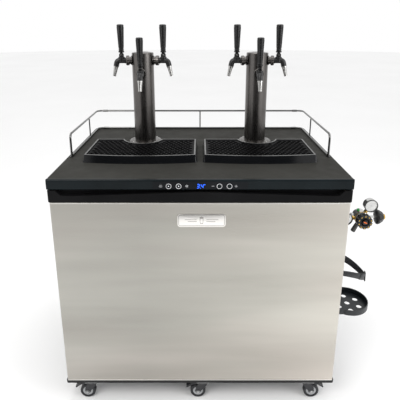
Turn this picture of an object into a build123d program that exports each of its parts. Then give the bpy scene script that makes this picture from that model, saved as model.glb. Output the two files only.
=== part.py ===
"""Free-standing kegerator: an insulated cabinet with a steel door, a worktop with two
three-tap towers, drip trays, a guard rail, casters, and the gas fittings that go with it.

Millimetres, +Z up, the door faces -Y. Everything is drawn with the middle of the cabinet at
x = 0 and the floor at z = 0, and is shifted once, when it is written, so that the origin is
the middle of the whole footprint, the bottle bracket at the side included.
"""
from build123d import *
import math
import os

# ---------------------------------------------------------------- driving dimensions
WIDTH = 1000.0            # worktop width
DEPTH = 706.0             # worktop depth, door included
FRONT = -DEPTH / 2        # front face of door and fascia
BACK = DEPTH / 2
DECK_Z = 897.0            # worktop surface above the floor
LID_Z = 862.0             # underside of the worktop unit
DOOR_TOP = 858.0
STEEL_TOP = 816.5
STEEL_BOTTOM = 98.5
BASE_TOP = 97.0
BASE_BOTTOM = 85.0        # also the height of the casters
CAB_FRONT = -292.0        # front face of the cabinet, behind the door
CAB_BACK = 345.0
SHELL_X = 495.0
SHELL_T = 1.2
WALL = 50.0               # insulation
LINER_T = 2.0
CEILING = 820.0
FLOOR_IN = 149.0
HUMP_Y = 98.0             # compressor step inside the cabinet
HUMP_Z = 354.0
DOOR_BACK = -302.0
HINGE_X, HINGE_Y = -482.0, -322.0
HINGE_R = 4.0
TOWER_X, TOWER_Y = 233.0, 121.0
TOWER_R = 44.0
TOWER_TOP = 375.0         # above the worktop
FLANGE_R = 68.0
TAP_Z_SIDE, TAP_Z_MID = 340.0, 292.0     # shank axes above the worktop
TAP_ANGLE = 84.0          # side taps, degrees either side of the front tap
PIVOT_U, PIVOT_W = 85.0, 22.0            # lever pivot: out from the tower axis, above the shank
PIN_R = 2.0
RAIL_R = 4.0
RAIL_X, RAIL_FRONT_Y, RAIL_BACK_Y, RAIL_H = 484.0, -108.0, 337.0, 88.0
RAIL_JOINT_X = 446.0
TRAY_X0, TRAY_X1 = 10.0, 427.0
TRAY_FRONT, TRAY_SIDE_FRONT, TRAY_BACK = -194.0, -176.0, 54.0
TRAY_H = 28.0
TRAY_NOTCH_R, TRAY_NOTCH_Y = 70.0, 60.0
GRILLE_Z, GRILLE_T = 21.0, 4.0
HEX_PITCH, HEX_R = 19.0, 9.0
BUTTONS = {"button_light": -102.0, "button_set": -69.5, "button_down": 63.0, "button_up": 95.5}
BUTTON_Z = DECK_Z - 22.0
BUTTON_R = 9.0
WHEEL_R, WHEEL_W, AXLE_R, TRAIL = 29.0, 21.0, 4.0, 22.0
FRONT_CASTERS = {"front_left": (-407.0, -1), "front_middle": (14.0, -1), "front_right": (403.0, 1)}
FRONT_CASTER_Y = -324.0
REAR_CASTERS = {"rear_left": -405.0, "rear_right": 405.0}
REAR_CASTER_Y = 296.0
BRACKET_Y, BRACKET_Z, BRACKET_W, BRACKET_H, SHELF_R = -212.0, 330.0, 132.0, 264.0, 75.0
BRACKET_T = 2.5
REG_X, REG_Y, REG_Z = 588.0, -213.0, 700.0
FAN_Z = 640.0
ORIGIN_X = 88.0           # middle of the whole footprint, seen from the middle of the cabinet
ORIGIN_Y = -1.0

SHIFT = Location((-ORIGIN_X, -ORIGIN_Y, 0))

os.makedirs("parts", exist_ok=True)


def save(part, name):
    part = part.moved(SHIFT)
    part.label = name
    export_step(part, f"parts/{name}.step")


def yz(points):
    """Points (y, z) for a sketch on Plane.YZ."""
    return [(y, z) for y, z in points]


# ---------------------------------------------------------------- base, shell, insulation, liner
with BuildPart() as base_plate:
    with BuildSketch(Plane.XY.offset(BASE_BOTTOM)):
        with Locations((0, (FRONT + CAB_BACK) / 2)):
            RectangleRounded(WIDTH, CAB_BACK - FRONT, 8)
    extrude(amount=BASE_TOP - BASE_BOTTOM)
    chamfer(base_plate.faces().sort_by(Axis.Z)[0].edges(), 1.5)
    with Locations((HINGE_X, HINGE_Y, BASE_TOP)):
        Hole(HINGE_R, depth=8)
save(base_plate.part, "base_plate")

cab_w = 2 * SHELL_X
foam_x = SHELL_X - SHELL_T
foam_back = CAB_BACK - SHELL_T
COMP_X, COMP_Y, COMP_Z = 430.0, 148.0, 302.0   # machine compartment behind the step

with BuildPart() as cabinet_shell:
    with BuildSketch(Plane.XY.offset(BASE_TOP)):
        with BuildLine():
            Polyline((-SHELL_X, CAB_FRONT), (-SHELL_X, CAB_BACK), (SHELL_X, CAB_BACK),
                     (SHELL_X, CAB_FRONT), (foam_x, CAB_FRONT), (foam_x, foam_back),
                     (-foam_x, foam_back), (-foam_x, CAB_FRONT), close=True)
        make_face()
    extrude(amount=LID_Z - BASE_TOP)
    with BuildSketch(Plane.XZ.offset(-CAB_BACK - 1)):
        with Locations((0, (BASE_TOP + 6 + COMP_Z - 4) / 2)):
            Rectangle(2 * (COMP_X - 6), COMP_Z - 10 - BASE_TOP)
    extrude(amount=5, mode=Mode.SUBTRACT)
    with Locations((-SHELL_X, CAB_FRONT, LID_Z)):
        Box(114, 48, 2 * (LID_Z - DOOR_TOP - 0.2), mode=Mode.SUBTRACT)
save(cabinet_shell.part, "cabinet_shell")

with BuildPart() as cabinet_foam:
    with BuildSketch(Plane.YZ.offset(-foam_x)):
        with BuildLine():
            Polyline((CAB_FRONT + 2, BASE_TOP), (COMP_Y, BASE_TOP), (COMP_Y, COMP_Z),
                     (foam_back, COMP_Z), (foam_back, DECK_Z - 4), (CAB_FRONT + 2, DECK_Z - 4),
                     close=True)
        make_face()
    extrude(amount=2 * foam_x)
    # cheeks beside the machine compartment
    with BuildSketch(Plane.XY.offset(BASE_TOP)):
        for s in (-1, 1):
            with Locations((s * (COMP_X + foam_x) / 2, (COMP_Y + foam_back) / 2)):
                Rectangle(foam_x - COMP_X, foam_back - COMP_Y)
    extrude(amount=COMP_Z - BASE_TOP)
    # cavity, the liner's outside
    with BuildSketch(Plane.YZ.offset(-foam_x + WALL)):
        with BuildLine():
            Polyline((CAB_FRONT - 5, FLOOR_IN - 2), (HUMP_Y + 2, FLOOR_IN - 2),
                     (HUMP_Y + 2, HUMP_Z - 2), (foam_back - WALL, HUMP_Z - 2),
                     (foam_back - WALL, CEILING + 2), (CAB_FRONT - 5, CEILING + 2), close=True)
        make_face()
    extrude(amount=2 * (foam_x - WALL), mode=Mode.SUBTRACT)
    with Locations((-TOWER_X, TOWER_Y, DECK_Z), (TOWER_X, TOWER_Y, DECK_Z)):
        Hole(26, depth=90)
    with Locations((-SHELL_X, CAB_FRONT, LID_Z)):
        Box(114, 48, 2 * (LID_Z - DOOR_TOP - 0.2), mode=Mode.SUBTRACT)
save(cabinet_foam.part, "cabinet_foam")

with BuildPart() as inner_liner:
    with BuildSketch(Plane.YZ.offset(-foam_x + WALL)):
        with BuildLine():
            Polyline((CAB_FRONT, FLOOR_IN - 2), (HUMP_Y + 2, FLOOR_IN - 2),
                     (HUMP_Y + 2, HUMP_Z - 2), (foam_back - WALL, HUMP_Z - 2),
                     (foam_back - WALL, CEILING + 2), (CAB_FRONT, CEILING + 2), close=True)
        make_face()
    extrude(amount=2 * (foam_x - WALL))
    with BuildSketch(Plane.XZ.offset(-CAB_FRONT)):
        with Locations((0, (BASE_TOP + LID_Z) / 2)):
            Rectangle(2 * foam_x, LID_Z - BASE_TOP)
    extrude(amount=-2)
    with BuildPart(mode=Mode.SUBTRACT) as cavity:
        with BuildSketch(Plane.YZ.offset(-foam_x + WALL + LINER_T)):
            with BuildLine():
                Polyline((CAB_FRONT - 5, FLOOR_IN), (HUMP_Y, FLOOR_IN), (HUMP_Y, HUMP_Z),
                         (foam_back - WALL - LINER_T, HUMP_Z), (foam_back - WALL - LINER_T, CEILING),
                         (CAB_FRONT - 5, CEILING), close=True)
            make_face()
        extrude(amount=2 * (foam_x - WALL - LINER_T))
        fillet(cavity.edges().filter_by(Axis.Y), 12)
    with Locations((-TOWER_X, TOWER_Y, CEILING + 3), (TOWER_X, TOWER_Y, CEILING + 3)):
        Hole(26, depth=10)
    with Locations((-SHELL_X, CAB_FRONT, LID_Z)):
        Box(114, 48, 2 * (LID_Z - DOOR_TOP - 0.2), mode=Mode.SUBTRACT)
save(inner_liner.part, "inner_liner")

# ---------------------------------------------------------------- machine compartment
with BuildPart() as rear_cover:
    with BuildSketch(Plane.XZ.offset(-CAB_BACK)):
        with Locations((0, (BASE_TOP + COMP_Z) / 2 + 1)):
            RectangleRounded(2 * COMP_X + 8, COMP_Z - BASE_TOP + 2, 6)
            with GridLocations(60, 14, 13, 9):
                SlotOverall(44, 5, mode=Mode.SUBTRACT)
            with GridLocations(2 * COMP_X - 8, COMP_Z - BASE_TOP - 14, 2, 2):
                Circle(2.2, mode=Mode.SUBTRACT)
    extrude(amount=-1.5)
save(rear_cover.part, "rear_cover")

with BuildPart() as compressor:
    with BuildSketch(Plane.XY.offset(BASE_TOP + 12)):
        with Locations((255, 240)):
            Ellipse(78, 64)
    extrude(amount=120)
    fillet(compressor.faces().sort_by(Axis.Z)[-1].edges(), 42)
    fillet(compressor.faces().sort_by(Axis.Z)[0].edges(), 12)
    with BuildSketch(Plane.XY.offset(BASE_TOP + 7)):
        with Locations((255, 240)):
            RectangleRounded(190, 120, 14)
            with GridLocations(166, 94, 2, 2):
                Circle(5, mode=Mode.SUBTRACT)
    extrude(amount=6)
    with Locations((255 - 83, 240 - 47, BASE_TOP + 3.5), (255 + 83, 240 - 47, BASE_TOP + 3.5),
                   (255 - 83, 240 + 47, BASE_TOP + 3.5), (255 + 83, 240 + 47, BASE_TOP + 3.5)):
        Cylinder(9, 7)
    with Locations((255 - 78, 240, BASE_TOP + 75)):
        Box(26, 44, 48)
save(compressor.part, "compressor")

with BuildPart() as condenser_coil:
    with BuildSketch(Plane.XY.offset(BASE_TOP + 25)):
        with Locations((-120, 240)):
            with GridLocations(12, 10, 24, 1):
                Rectangle(0.8, 110)
    extrude(amount=150)
    for k in range(5):
        with BuildSketch(Plane.YZ.offset(-120 - 150)):
            with Locations((200, BASE_TOP + 40 + 30 * k), (240, BASE_TOP + 40 + 30 * k),
                           (280, BASE_TOP + 40 + 30 * k)):
                Circle(4)
        extrude(amount=300)
    with BuildSketch(Plane.XY.offset(BASE_TOP)):
        for s in (-1, 1):
            with Locations((-120 + s * 150, 240)):
                Rectangle(2.5, 118)
    extrude(amount=182)
save(condenser_coil.part, "condenser_coil")

# ---------------------------------------------------------------- evaporator and its fan
EV_BACK = foam_back - WALL - LINER_T
EV_FRONT = EV_BACK - 45
with BuildPart() as evaporator_housing:
    with BuildSketch(Plane.XZ.offset(-EV_FRONT)):
        with Locations((0, 610)):
            RectangleRounded(400, 260, 14)
    extrude(amount=-45)
    fillet(evaporator_housing.faces().sort_by(Axis.Y)[0].edges(), 6)
    with BuildSketch(Plane.XZ.offset(-EV_BACK - 1)):
        with Locations((0, 610)):
            RectangleRounded(395, 255, 11.5)
    extrude(amount=43.5, mode=Mode.SUBTRACT)
    with BuildSketch(Plane.XZ.offset(-EV_FRONT + 1)):
        with Locations((0, FAN_Z)):
            Circle(56)
        with Locations((0, 505)):
            with GridLocations(24, 20, 13, 1):
                SlotOverall(26, 8, rotation=90)
    extrude(amount=-6, mode=Mode.SUBTRACT)
    # spider that carries the motor, in the fan opening
    with BuildSketch(Plane.XZ.offset(-EV_BACK)):
        with Locations((0, FAN_Z)):
            Circle(17)
            Rectangle(120, 8)
            Rectangle(8, 120)
    extrude(amount=5)
    with BuildSketch(Plane.XZ.offset(-EV_BACK + 5)):
        with Locations((0, FAN_Z)):
            Circle(15)
    extrude(amount=12)
    with BuildSketch(Plane.XZ.offset(-EV_BACK + 17)):
        with Locations((0, FAN_Z)):
            Circle(3)
    extrude(amount=18)
save(evaporator_housing.part, "evaporator_housing")

FAN_Y = EV_BACK - 26
with BuildPart() as fan_rotor:
    with BuildSketch(Plane.XZ.offset(-FAN_Y - 6)):
        with Locations((0, FAN_Z)):
            Circle(17)
    extrude(amount=13)
    fillet(fan_rotor.faces().sort_by(Axis.Y)[0].edges(), 3)
    for k in range(7):
        a = math.radians(360 / 7 * k)
        pl = Plane(origin=(14 * math.cos(a), FAN_Y, FAN_Z + 14 * math.sin(a)),
                   x_dir=(-math.sin(a) * math.cos(0.6), math.sin(0.6), math.cos(a) * math.cos(0.6)),
                   z_dir=(math.cos(a), 0, math.sin(a)))
        with BuildSketch(pl):
            RectangleRounded(17, 1.6, 0.7)
        extrude(amount=34)
    with BuildSketch(Plane.XZ.offset(-FAN_Y - 8)):
        with Locations((0, FAN_Z)):
            Circle(3.05)
    extrude(amount=20, mode=Mode.SUBTRACT)
save(fan_rotor.part, "fan_rotor")

# ---------------------------------------------------------------- worktop and control strip
with BuildPart() as top_deck:
    with BuildSketch(Plane.XY.offset(LID_Z)):
        with Locations((0, (FRONT + 8 + BACK) / 2)):
            Rectangle(WIDTH, DEPTH - 8)


    extrude(amount=DECK_Z - LID_Z)
    fillet(top_deck.edges().filter_by(Axis.Z).group_by(Axis.Y)[-1], 10)
    fillet(top_deck.edges().group_by(Axis.Z)[-1].filter_by(lambda e: e.center().Y > FRONT + 9), 3)
    with BuildSketch(Plane.XY.offset(LID_Z - 1)):
        with Locations((0, (FRONT - 20 + BACK - 3) / 2)):
            Rectangle(WIDTH - 6, DEPTH + 17)
    extrude(amount=DECK_Z - LID_Z - 3, mode=Mode.SUBTRACT)
    with Locations((-TOWER_X, TOWER_Y, DECK_Z), (TOWER_X, TOWER_Y, DECK_Z)):
        Hole(26, depth=10)
save(top_deck.part, "top_deck")

with BuildPart() as control_fascia:
    with BuildSketch(Plane.YZ.offset(-WIDTH / 2)):
        with BuildLine():
            Line((FRONT, LID_Z + 2), (FRONT, DECK_Z - 5))
            ThreePointArc((FRONT, DECK_Z - 5), (FRONT + 1.5, DECK_Z - 1.5), (FRONT + 5, DECK_Z))
            Polyline((FRONT + 5, DECK_Z), (FRONT + 8, DECK_Z), (FRONT + 8, LID_Z),
                     (FRONT + 2, LID_Z), (FRONT, LID_Z + 2))
        make_face()
    extrude(amount=WIDTH)
    with BuildSketch(Plane.XZ.offset(-FRONT + 1)):
        for bx in BUTTONS.values():
            with Locations((bx, BUTTON_Z)):
                Circle(BUTTON_R + 0.35)
    extrude(amount=-12, mode=Mode.SUBTRACT)
save(control_fascia.part, "control_fascia")

with BuildPart() as display_window:
    with BuildSketch(Plane.XZ.offset(-FRONT)):
        with Locations((1, DECK_Z - 19.5)):
            RectangleRounded(310, 25, 3)
        for bx in BUTTONS.values():
            with Locations((bx, BUTTON_Z)):
                Circle(BUTTON_R + 0.35, mode=Mode.SUBTRACT)
    extrude(amount=0.8)
save(display_window.part, "display_window")

for name, bx in BUTTONS.items():
    with BuildPart() as button:
        with BuildSketch(Plane.XZ.offset(-FRONT + 2)):
            with Locations((bx, BUTTON_Z)):
                Circle(BUTTON_R)
        extrude(amount=-10.6)
        fillet(button.faces().sort_by(Axis.Y)[0].edges(), 0.8)
        with BuildSketch(Plane.XZ.offset(-FRONT - 8.4)):
            with Locations((bx, BUTTON_Z)):
                Circle(BUTTON_R + 2)
        extrude(amount=-1.5)
        with BuildSketch(Plane.XZ.offset(-FRONT + 2.5)):
            with Locations((bx, BUTTON_Z)):
                Circle(BUTTON_R - 2.2)
        extrude(amount=-1, mode=Mode.SUBTRACT)
    save(button.part, name)

# ---------------------------------------------------------------- guard rail
rail_z = DECK_Z + RAIL_H
low_z = DECK_Z + RAIL_R + 1.2
with BuildPart() as guard_rail_tubes:
    for s in (-1, 1):
        x = s * RAIL_X
        with BuildLine():
            top = FilletPolyline((x, RAIL_FRONT_Y, DECK_Z), (x, RAIL_FRONT_Y, rail_z),
                                 (x, RAIL_BACK_Y, rail_z), (s * RAIL_JOINT_X, RAIL_BACK_Y, rail_z),
                                 radius=(18, 24))
        with BuildSketch(Plane(origin=top @ 0, z_dir=top % 0)):
            Circle(RAIL_R)
        sweep(path=top)
        with BuildLine():
            low = FilletPolyline((x, RAIL_FRONT_Y + RAIL_R + 3.6, low_z), (x, RAIL_BACK_Y, low_z),
                                 (s * RAIL_JOINT_X, RAIL_BACK_Y, low_z), radius=24)
        with BuildSketch(Plane(origin=low @ 0, z_dir=low % 0)):
            Circle(RAIL_R)
        sweep(path=low)
    with BuildSketch(Plane.YZ.offset(-RAIL_JOINT_X + 0.2)):
        with Locations((RAIL_BACK_Y, rail_z), (RAIL_BACK_Y, low_z)):
            Circle(RAIL_R)
    extrude(amount=2 * RAIL_JOINT_X - 0.4)
save(guard_rail_tubes.part, "guard_rail_tubes")

with BuildPart() as rail_fittings:
    for s in (-1, 1):
        with BuildSketch(Plane.YZ.offset(s * RAIL_JOINT_X - 11)):
            with Locations((RAIL_BACK_Y, rail_z), (RAIL_BACK_Y, low_z)):
                Circle(RAIL_R + 1.1)
                Circle(RAIL_R, mode=Mode.SUBTRACT)
        extrude(amount=22)
        with BuildSketch(Plane.XY.offset(DECK_Z)):
            with Locations((s * RAIL_X, RAIL_FRONT_Y)):
                Circle(RAIL_R + 3)
                Circle(RAIL_R, mode=Mode.SUBTRACT)
        extrude(amount=3)
        with BuildSketch(Plane.XY.offset(low_z)):
            with Locations((s * RAIL_X, TOWER_Y + 56)):
                Circle(2.8)
        extrude(amount=rail_z - low_z)
        with BuildSketch(Plane.XZ.offset(-TOWER_Y - 50)):
            with Locations((s * RAIL_X, low_z), (s * RAIL_X, rail_z)):
                Circle(RAIL_R + 0.02)
        extrude(amount=-12, mode=Mode.SUBTRACT)
    with BuildSketch(Plane.XY.offset(low_z)):
        with Locations((0, RAIL_BACK_Y)):
            Circle(2.8)
    extrude(amount=rail_z - low_z)
    with BuildSketch(Plane.YZ.offset(-6)):
        with Locations((RAIL_BACK_Y, low_z), (RAIL_BACK_Y, rail_z)):
            Circle(RAIL_R + 0.02)
    extrude(amount=12, mode=Mode.SUBTRACT)
save(rail_fittings.part, "rail_fittings")

# ---------------------------------------------------------------- towers
FLANGE_TOP = DECK_Z + 8
TAPS = []                # (name, tower x, angle, shank height)
for side, s in (("left", -1), ("right", 1)):
    for tap, da, h in (("left", -TAP_ANGLE, TAP_Z_SIDE), ("middle", 0.0, TAP_Z_MID),
                       ("right", TAP_ANGLE, TAP_Z_SIDE)):
        TAPS.append((f"{side}_{tap}", s * TOWER_X, -90.0 + da, DECK_Z + h))
TAP_LOC = [Location((x, TOWER_Y, z), (0, 0, a)) for _, x, a, z in TAPS]

for side, s in (("left", -1), ("right", 1)):
    with BuildPart() as column:
        with BuildSketch(Plane.XY.offset(FLANGE_TOP)):
            with Locations((s * TOWER_X, TOWER_Y)):
                Circle(TOWER_R)
                Circle(TOWER_R - 2.5, mode=Mode.SUBTRACT)
        extrude(amount=DECK_Z + TOWER_TOP - 8 - FLANGE_TOP)
        for _, tx, a, z in [t for t in TAPS if t[0].startswith(side)]:
            pl = Plane(origin=(tx, TOWER_Y, z), x_dir=(0, 0, 1),
                       z_dir=(math.cos(math.radians(a)), math.sin(math.radians(a)), 0))
            with BuildSketch(pl):
                Circle(11.2)
            extrude(amount=60, mode=Mode.SUBTRACT)
    save(column.part, f"tower_column_{side}")

with BuildPart() as tower_flanges:
    for s in (-1, 1):
        pl = Plane(origin=(s * TOWER_X, TOWER_Y, DECK_Z), x_dir=(1, 0, 0), z_dir=(0, -1, 0))
        with BuildSketch(pl):
            with BuildLine():
                Polyline((26.5, 0), (FLANGE_R, 0), (FLANGE_R, 3), (FLANGE_R - 3, 6), (56, 8),
                         (TOWER_R - 2.7, 8), (TOWER_R - 2.7, 26), (26.5, 26), close=True)
            make_face()
        revolve(axis=Axis((s * TOWER_X, TOWER_Y, 0), (0, 0, 1)))
        with Locations(*[(s * TOWER_X + 61 * math.cos(math.radians(b)),
                          TOWER_Y + 61 * math.sin(math.radians(b)), DECK_Z + 8)
                         for b in (45, 135, 225, 315)]):
            Hole(2.2, depth=10)
save(tower_flanges.part, "tower_flanges")

with BuildPart() as tower_caps:
    for s in (-1, 1):
        pl = Plane(origin=(s * TOWER_X, TOWER_Y, DECK_Z + TOWER_TOP), x_dir=(1, 0, 0), z_dir=(0, -1, 0))
        with BuildSketch(pl):
            with BuildLine():
                ThreePointArc((0, 0), (24, -0.9), (40, -3.4))
                ThreePointArc((40, -3.4), (43.6, -5.2), (TOWER_R, -8))
                Polyline((TOWER_R, -8), (TOWER_R - 2.7, -8), (TOWER_R - 2.7, -18), (36, -18),
                         (36, -10), (0, -10), (0, 0))
            make_face()
        revolve(axis=Axis((s * TOWER_X, TOWER_Y, 0), (0, 0, 1)))
save(tower_caps.part, "tower_caps")

# ---------------------------------------------------------------- taps, drawn once along +X from the tower axis
with BuildPart() as shank:
    with BuildSketch(Plane.XZ):
        with BuildLine():
            Polyline((22, 3.5), (22, 11), (44.2, 11), (44.2, 19), (47.0, 19), (48.5, 15), (54, 15),
                     (54, 18.6), (55, 19.2), (66, 19.2), (67, 18.2), (67, 3.5), close=True)
        make_face()
    revolve(axis=Axis.X)
with BuildPart() as shanks:
    with Locations(*TAP_LOC):
        add(shank.part)
save(shanks.part, "shanks")

NOSE = (108.0, -22.0)
TIP = (117.5, -62.0)
with BuildPart() as faucet:
    with BuildLine():
        run = FilletPolyline((67.1, 0, 0), (NOSE[0] - 5.225, 0, 0), (NOSE[0], 0, NOSE[1]), radius=12.5)
    with BuildSketch(Plane(origin=run @ 0, z_dir=run % 0)):
        Circle(11)
    sweep(path=run)
    with BuildSketch(Plane.XY.offset(-6)):
        with Locations((PIVOT_U, 0)):
            Circle(12.5)
    extrude(amount=21)
    fillet(faucet.edges().sort_by(Axis.Z)[-1], 1.2)
    for s in (-1, 1):
        with BuildSketch(Plane.XZ.offset(s * 4.9 - 2.0)):
            with Locations((PIVOT_U, PIVOT_W)):
                Circle(9.3)
            with Locations((PIVOT_U, (PIVOT_W + 12) / 2)):
                Rectangle(18.6, PIVOT_W - 12)
            with Locations((PIVOT_U, PIVOT_W)):
                Circle(PIN_R, mode=Mode.SUBTRACT)
        extrude(amount=4)
with BuildPart() as pin:
    with BuildSketch(Plane.XZ.offset(-7.4)):
        with Locations((PIVOT_U, PIVOT_W)):
            Circle(PIN_R)
    extrude(amount=14.8)
with BuildPart() as faucet_bodies:
    with Locations(*TAP_LOC):
        add(faucet.part)
save(faucet_bodies.part, "faucet_bodies")
with BuildPart() as tap_pins:
    with Locations(*TAP_LOC):
        add(pin.part)
save(tap_pins.part, "tap_pins")

spout_dir = Vector(TIP[0] - NOSE[0], 0, TIP[1] - NOSE[1])
spout_len = spout_dir.length
with BuildPart() as spout:
    pl = Plane(origin=(NOSE[0], 0, NOSE[1]), x_dir=(0, 1, 0), z_dir=spout_dir.normalized())
    with BuildSketch(pl):
        Circle(9.5)
    with BuildSketch(pl.offset(spout_len)):
        Circle(6.2)
    loft()
    with BuildSketch(pl):
        Circle(10.6)
    extrude(amount=4)
    with BuildSketch(pl.offset(spout_len - 5)):
        Circle(6.9)
    extrude(amount=5)
    with BuildSketch(pl.offset(spout_len)):
        Circle(4.4)
    extrude(amount=-spout_len + 3, mode=Mode.SUBTRACT)
with BuildPart() as faucet_spouts:
    with Locations(*TAP_LOC):
        add(spout.part)
save(faucet_spouts.part, "faucet_spouts")

with BuildPart() as handle:
    with BuildSketch(Plane.XZ):
        with BuildLine():
            Polyline((0, 32), (10.4, 32), (11.4, 33), (11.4, 37.4), (9.6, 38.6), (9.6, 40.4),
                     (10.8, 41.4), (10.8, 43.4), (9.7, 44.4), (10.0, 47))
            Line((10.0, 47), (13.9, 135.4))
            ThreePointArc((13.9, 135.4), (12.9, 139.4), (8.5, 141.2))
            Line((8.5, 141.2), (0, 142))
            Line((0, 142), (0, 32))
        make_face()
    revolve(axis=Axis.Z)
    with BuildSketch(Plane.XZ.offset(-2.5)):
        with Locations((0, PIVOT_W)):
            Circle(6)
        with Locations((0, (PIVOT_W + 33) / 2)):
            Rectangle(11, 33 - PIVOT_W)
        with Locations((0, PIVOT_W)):
            Circle(PIN_R + 0.05, mode=Mode.SUBTRACT)
    extrude(amount=5)
for (name, x, a, z), loc in zip(TAPS, TAP_LOC):
    with BuildPart() as tap_handle:
        with Locations(loc * Location((PIVOT_U, 0, 0))):
            add(handle.part)
    save(tap_handle.part, f"tap_handle_{name}")

# ---------------------------------------------------------------- drip trays and their grilles
def tray_face(s, inset):
    """Plan of a tray, pulled in by inset: bowed front, straight sides, a bay round the tower."""
    with BuildSketch() as sk:
        with BuildLine():
            ThreePointArc((s * TRAY_X0, TRAY_SIDE_FRONT), (s * (TRAY_X0 + TRAY_X1) / 2, TRAY_FRONT),
                          (s * TRAY_X1, TRAY_SIDE_FRONT))
            Polyline((s * TRAY_X1, TRAY_SIDE_FRONT), (s * TRAY_X1, TRAY_BACK),
                     (s * TRAY_X0, TRAY_BACK), (s * TRAY_X0, TRAY_SIDE_FRONT))
        make_face()
        with Locations((s * TOWER_X, TRAY_NOTCH_Y)):
            Circle(TRAY_NOTCH_R, mode=Mode.SUBTRACT)
        fillet(sk.vertices(), 9)
        if inset:
            offset(amount=-inset, kind=Kind.INTERSECTION, mode=Mode.REPLACE)
    return sk.sketch


def hex_points(s):
    pts = []
    dy = HEX_PITCH * math.sqrt(3) / 2
    xc = (TRAY_X0 + TRAY_X1) / 2
    for j in range(-8, 9):
        for i in range(-13, 14):
            x = s * xc + (i + (0.5 if j % 2 else 0)) * HEX_PITCH
            y = -64 + j * dy
            m = HEX_R + 16
            half = (TRAY_X1 - TRAY_X0) / 2
            if abs(x - s * xc) > half - m or y > TRAY_BACK - m:
                continue
            bow = TRAY_FRONT + (TRAY_SIDE_FRONT - TRAY_FRONT) * ((x - s * xc) / half) ** 2
            if y < bow + m:
                continue
            if math.hypot(x - s * TOWER_X, y - TRAY_NOTCH_Y) < TRAY_NOTCH_R + m:
                continue
            pts.append((x, y))
    return pts


with BuildPart() as drip_tray_right:
    with BuildSketch(Plane.XY.offset(DECK_Z + 0.1)):
        add(tray_face(1, 0))
    extrude(amount=TRAY_H, taper=14)
    with BuildSketch(Plane.XY.offset(DECK_Z + 3)):
        add(tray_face(1, 17))
    extrude(amount=TRAY_H, mode=Mode.SUBTRACT)
    with BuildSketch(Plane.XY.offset(DECK_Z + GRILLE_Z)):
        add(tray_face(1, 12.5))
    extrude(amount=TRAY_H, mode=Mode.SUBTRACT)
save(drip_tray_right.part, "drip_tray_right")
with BuildPart() as drip_tray_left:
    mirror(drip_tray_right.part, about=Plane.YZ)
save(drip_tray_left.part, "drip_tray_left")

with BuildPart() as drip_grille_right:
    with BuildSketch(Plane.XY.offset(DECK_Z + GRILLE_Z + 0.1)):
        add(tray_face(1, 13.1))
        with Locations(*hex_points(1)):
            RegularPolygon(HEX_R, 6, rotation=30, mode=Mode.SUBTRACT)
    extrude(amount=GRILLE_T)
save(drip_grille_right.part, "drip_grille_right")
with BuildPart() as drip_grille_left:
    mirror(drip_grille_right.part, about=Plane.YZ)
save(drip_grille_left.part, "drip_grille_left")

# ---------------------------------------------------------------- door
with BuildPart() as door_skin:
    with BuildSketch(Plane.XY.offset(STEEL_BOTTOM)):
        with Locations((0, (FRONT + DOOR_BACK - 2) / 2)):
            Rectangle(2 * 496, DOOR_BACK - FRONT - 2)
    extrude(amount=STEEL_TOP - STEEL_BOTTOM)
    fillet(door_skin.edges().filter_by(Axis.Z).group_by(Axis.Y)[0], 7)
    offset(amount=-1, openings=door_skin.faces().sort_by(Axis.Y)[-1])
    with Locations((HINGE_X, HINGE_Y, STEEL_BOTTOM - 1)):
        Cylinder(HINGE_R + 0.05, 8, mode=Mode.SUBTRACT)
save(door_skin.part, "door_skin")

with BuildPart() as door_foam:
    with BuildSketch(Plane.XY.offset(STEEL_BOTTOM + 1)):
        with Locations((0, (FRONT + 1 + DOOR_BACK - 2) / 2)):
            Rectangle(2 * 495, DOOR_BACK - FRONT - 3)
    extrude(amount=STEEL_TOP - STEEL_BOTTOM - 2)
    fillet(door_foam.edges().filter_by(Axis.Z).group_by(Axis.Y)[0], 6)
    with BuildSketch(Plane.XY.offset(STEEL_BOTTOM)):
        with Locations((HINGE_X, HINGE_Y)):
            Circle(HINGE_R + 0.4)
    extrude(amount=30, mode=Mode.SUBTRACT)
save(door_foam.part, "door_foam")

with BuildPart() as door_trim:
    with BuildSketch(Plane.XY.offset(STEEL_TOP)):
        with Locations((0, (FRONT + DOOR_BACK - 2) / 2)):
            Rectangle(WIDTH, DOOR_BACK - FRONT - 2)
    extrude(amount=DOOR_TOP - STEEL_TOP)
    fillet(door_trim.edges().filter_by(Axis.Z).group_by(Axis.Y)[0], 7)
    # finger pull: a long scoop in the top edge, deep near the ends
    with BuildSketch(Plane.XZ.offset(-FRONT + 1)):
        with BuildLine():
            Polyline((-474, DOOR_TOP + 1), (-456, 841), (-430, 839.5), (0, 854), (430, 839.5),
                     (456, 841), (474, DOOR_TOP + 1), close=True)
        make_face()
    extrude(amount=-23, mode=Mode.SUBTRACT)
    chamfer(door_trim.edges().group_by(Axis.Z)[0].sort_by(Axis.Y)[0], 1.5)
    with BuildSketch(Plane.XY.offset(DOOR_TOP + 1)):
        with Locations((HINGE_X, HINGE_Y)):
            Circle(HINGE_R + 0.05)
    extrude(amount=-27, mode=Mode.SUBTRACT)
save(door_trim.part, "door_trim")

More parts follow.
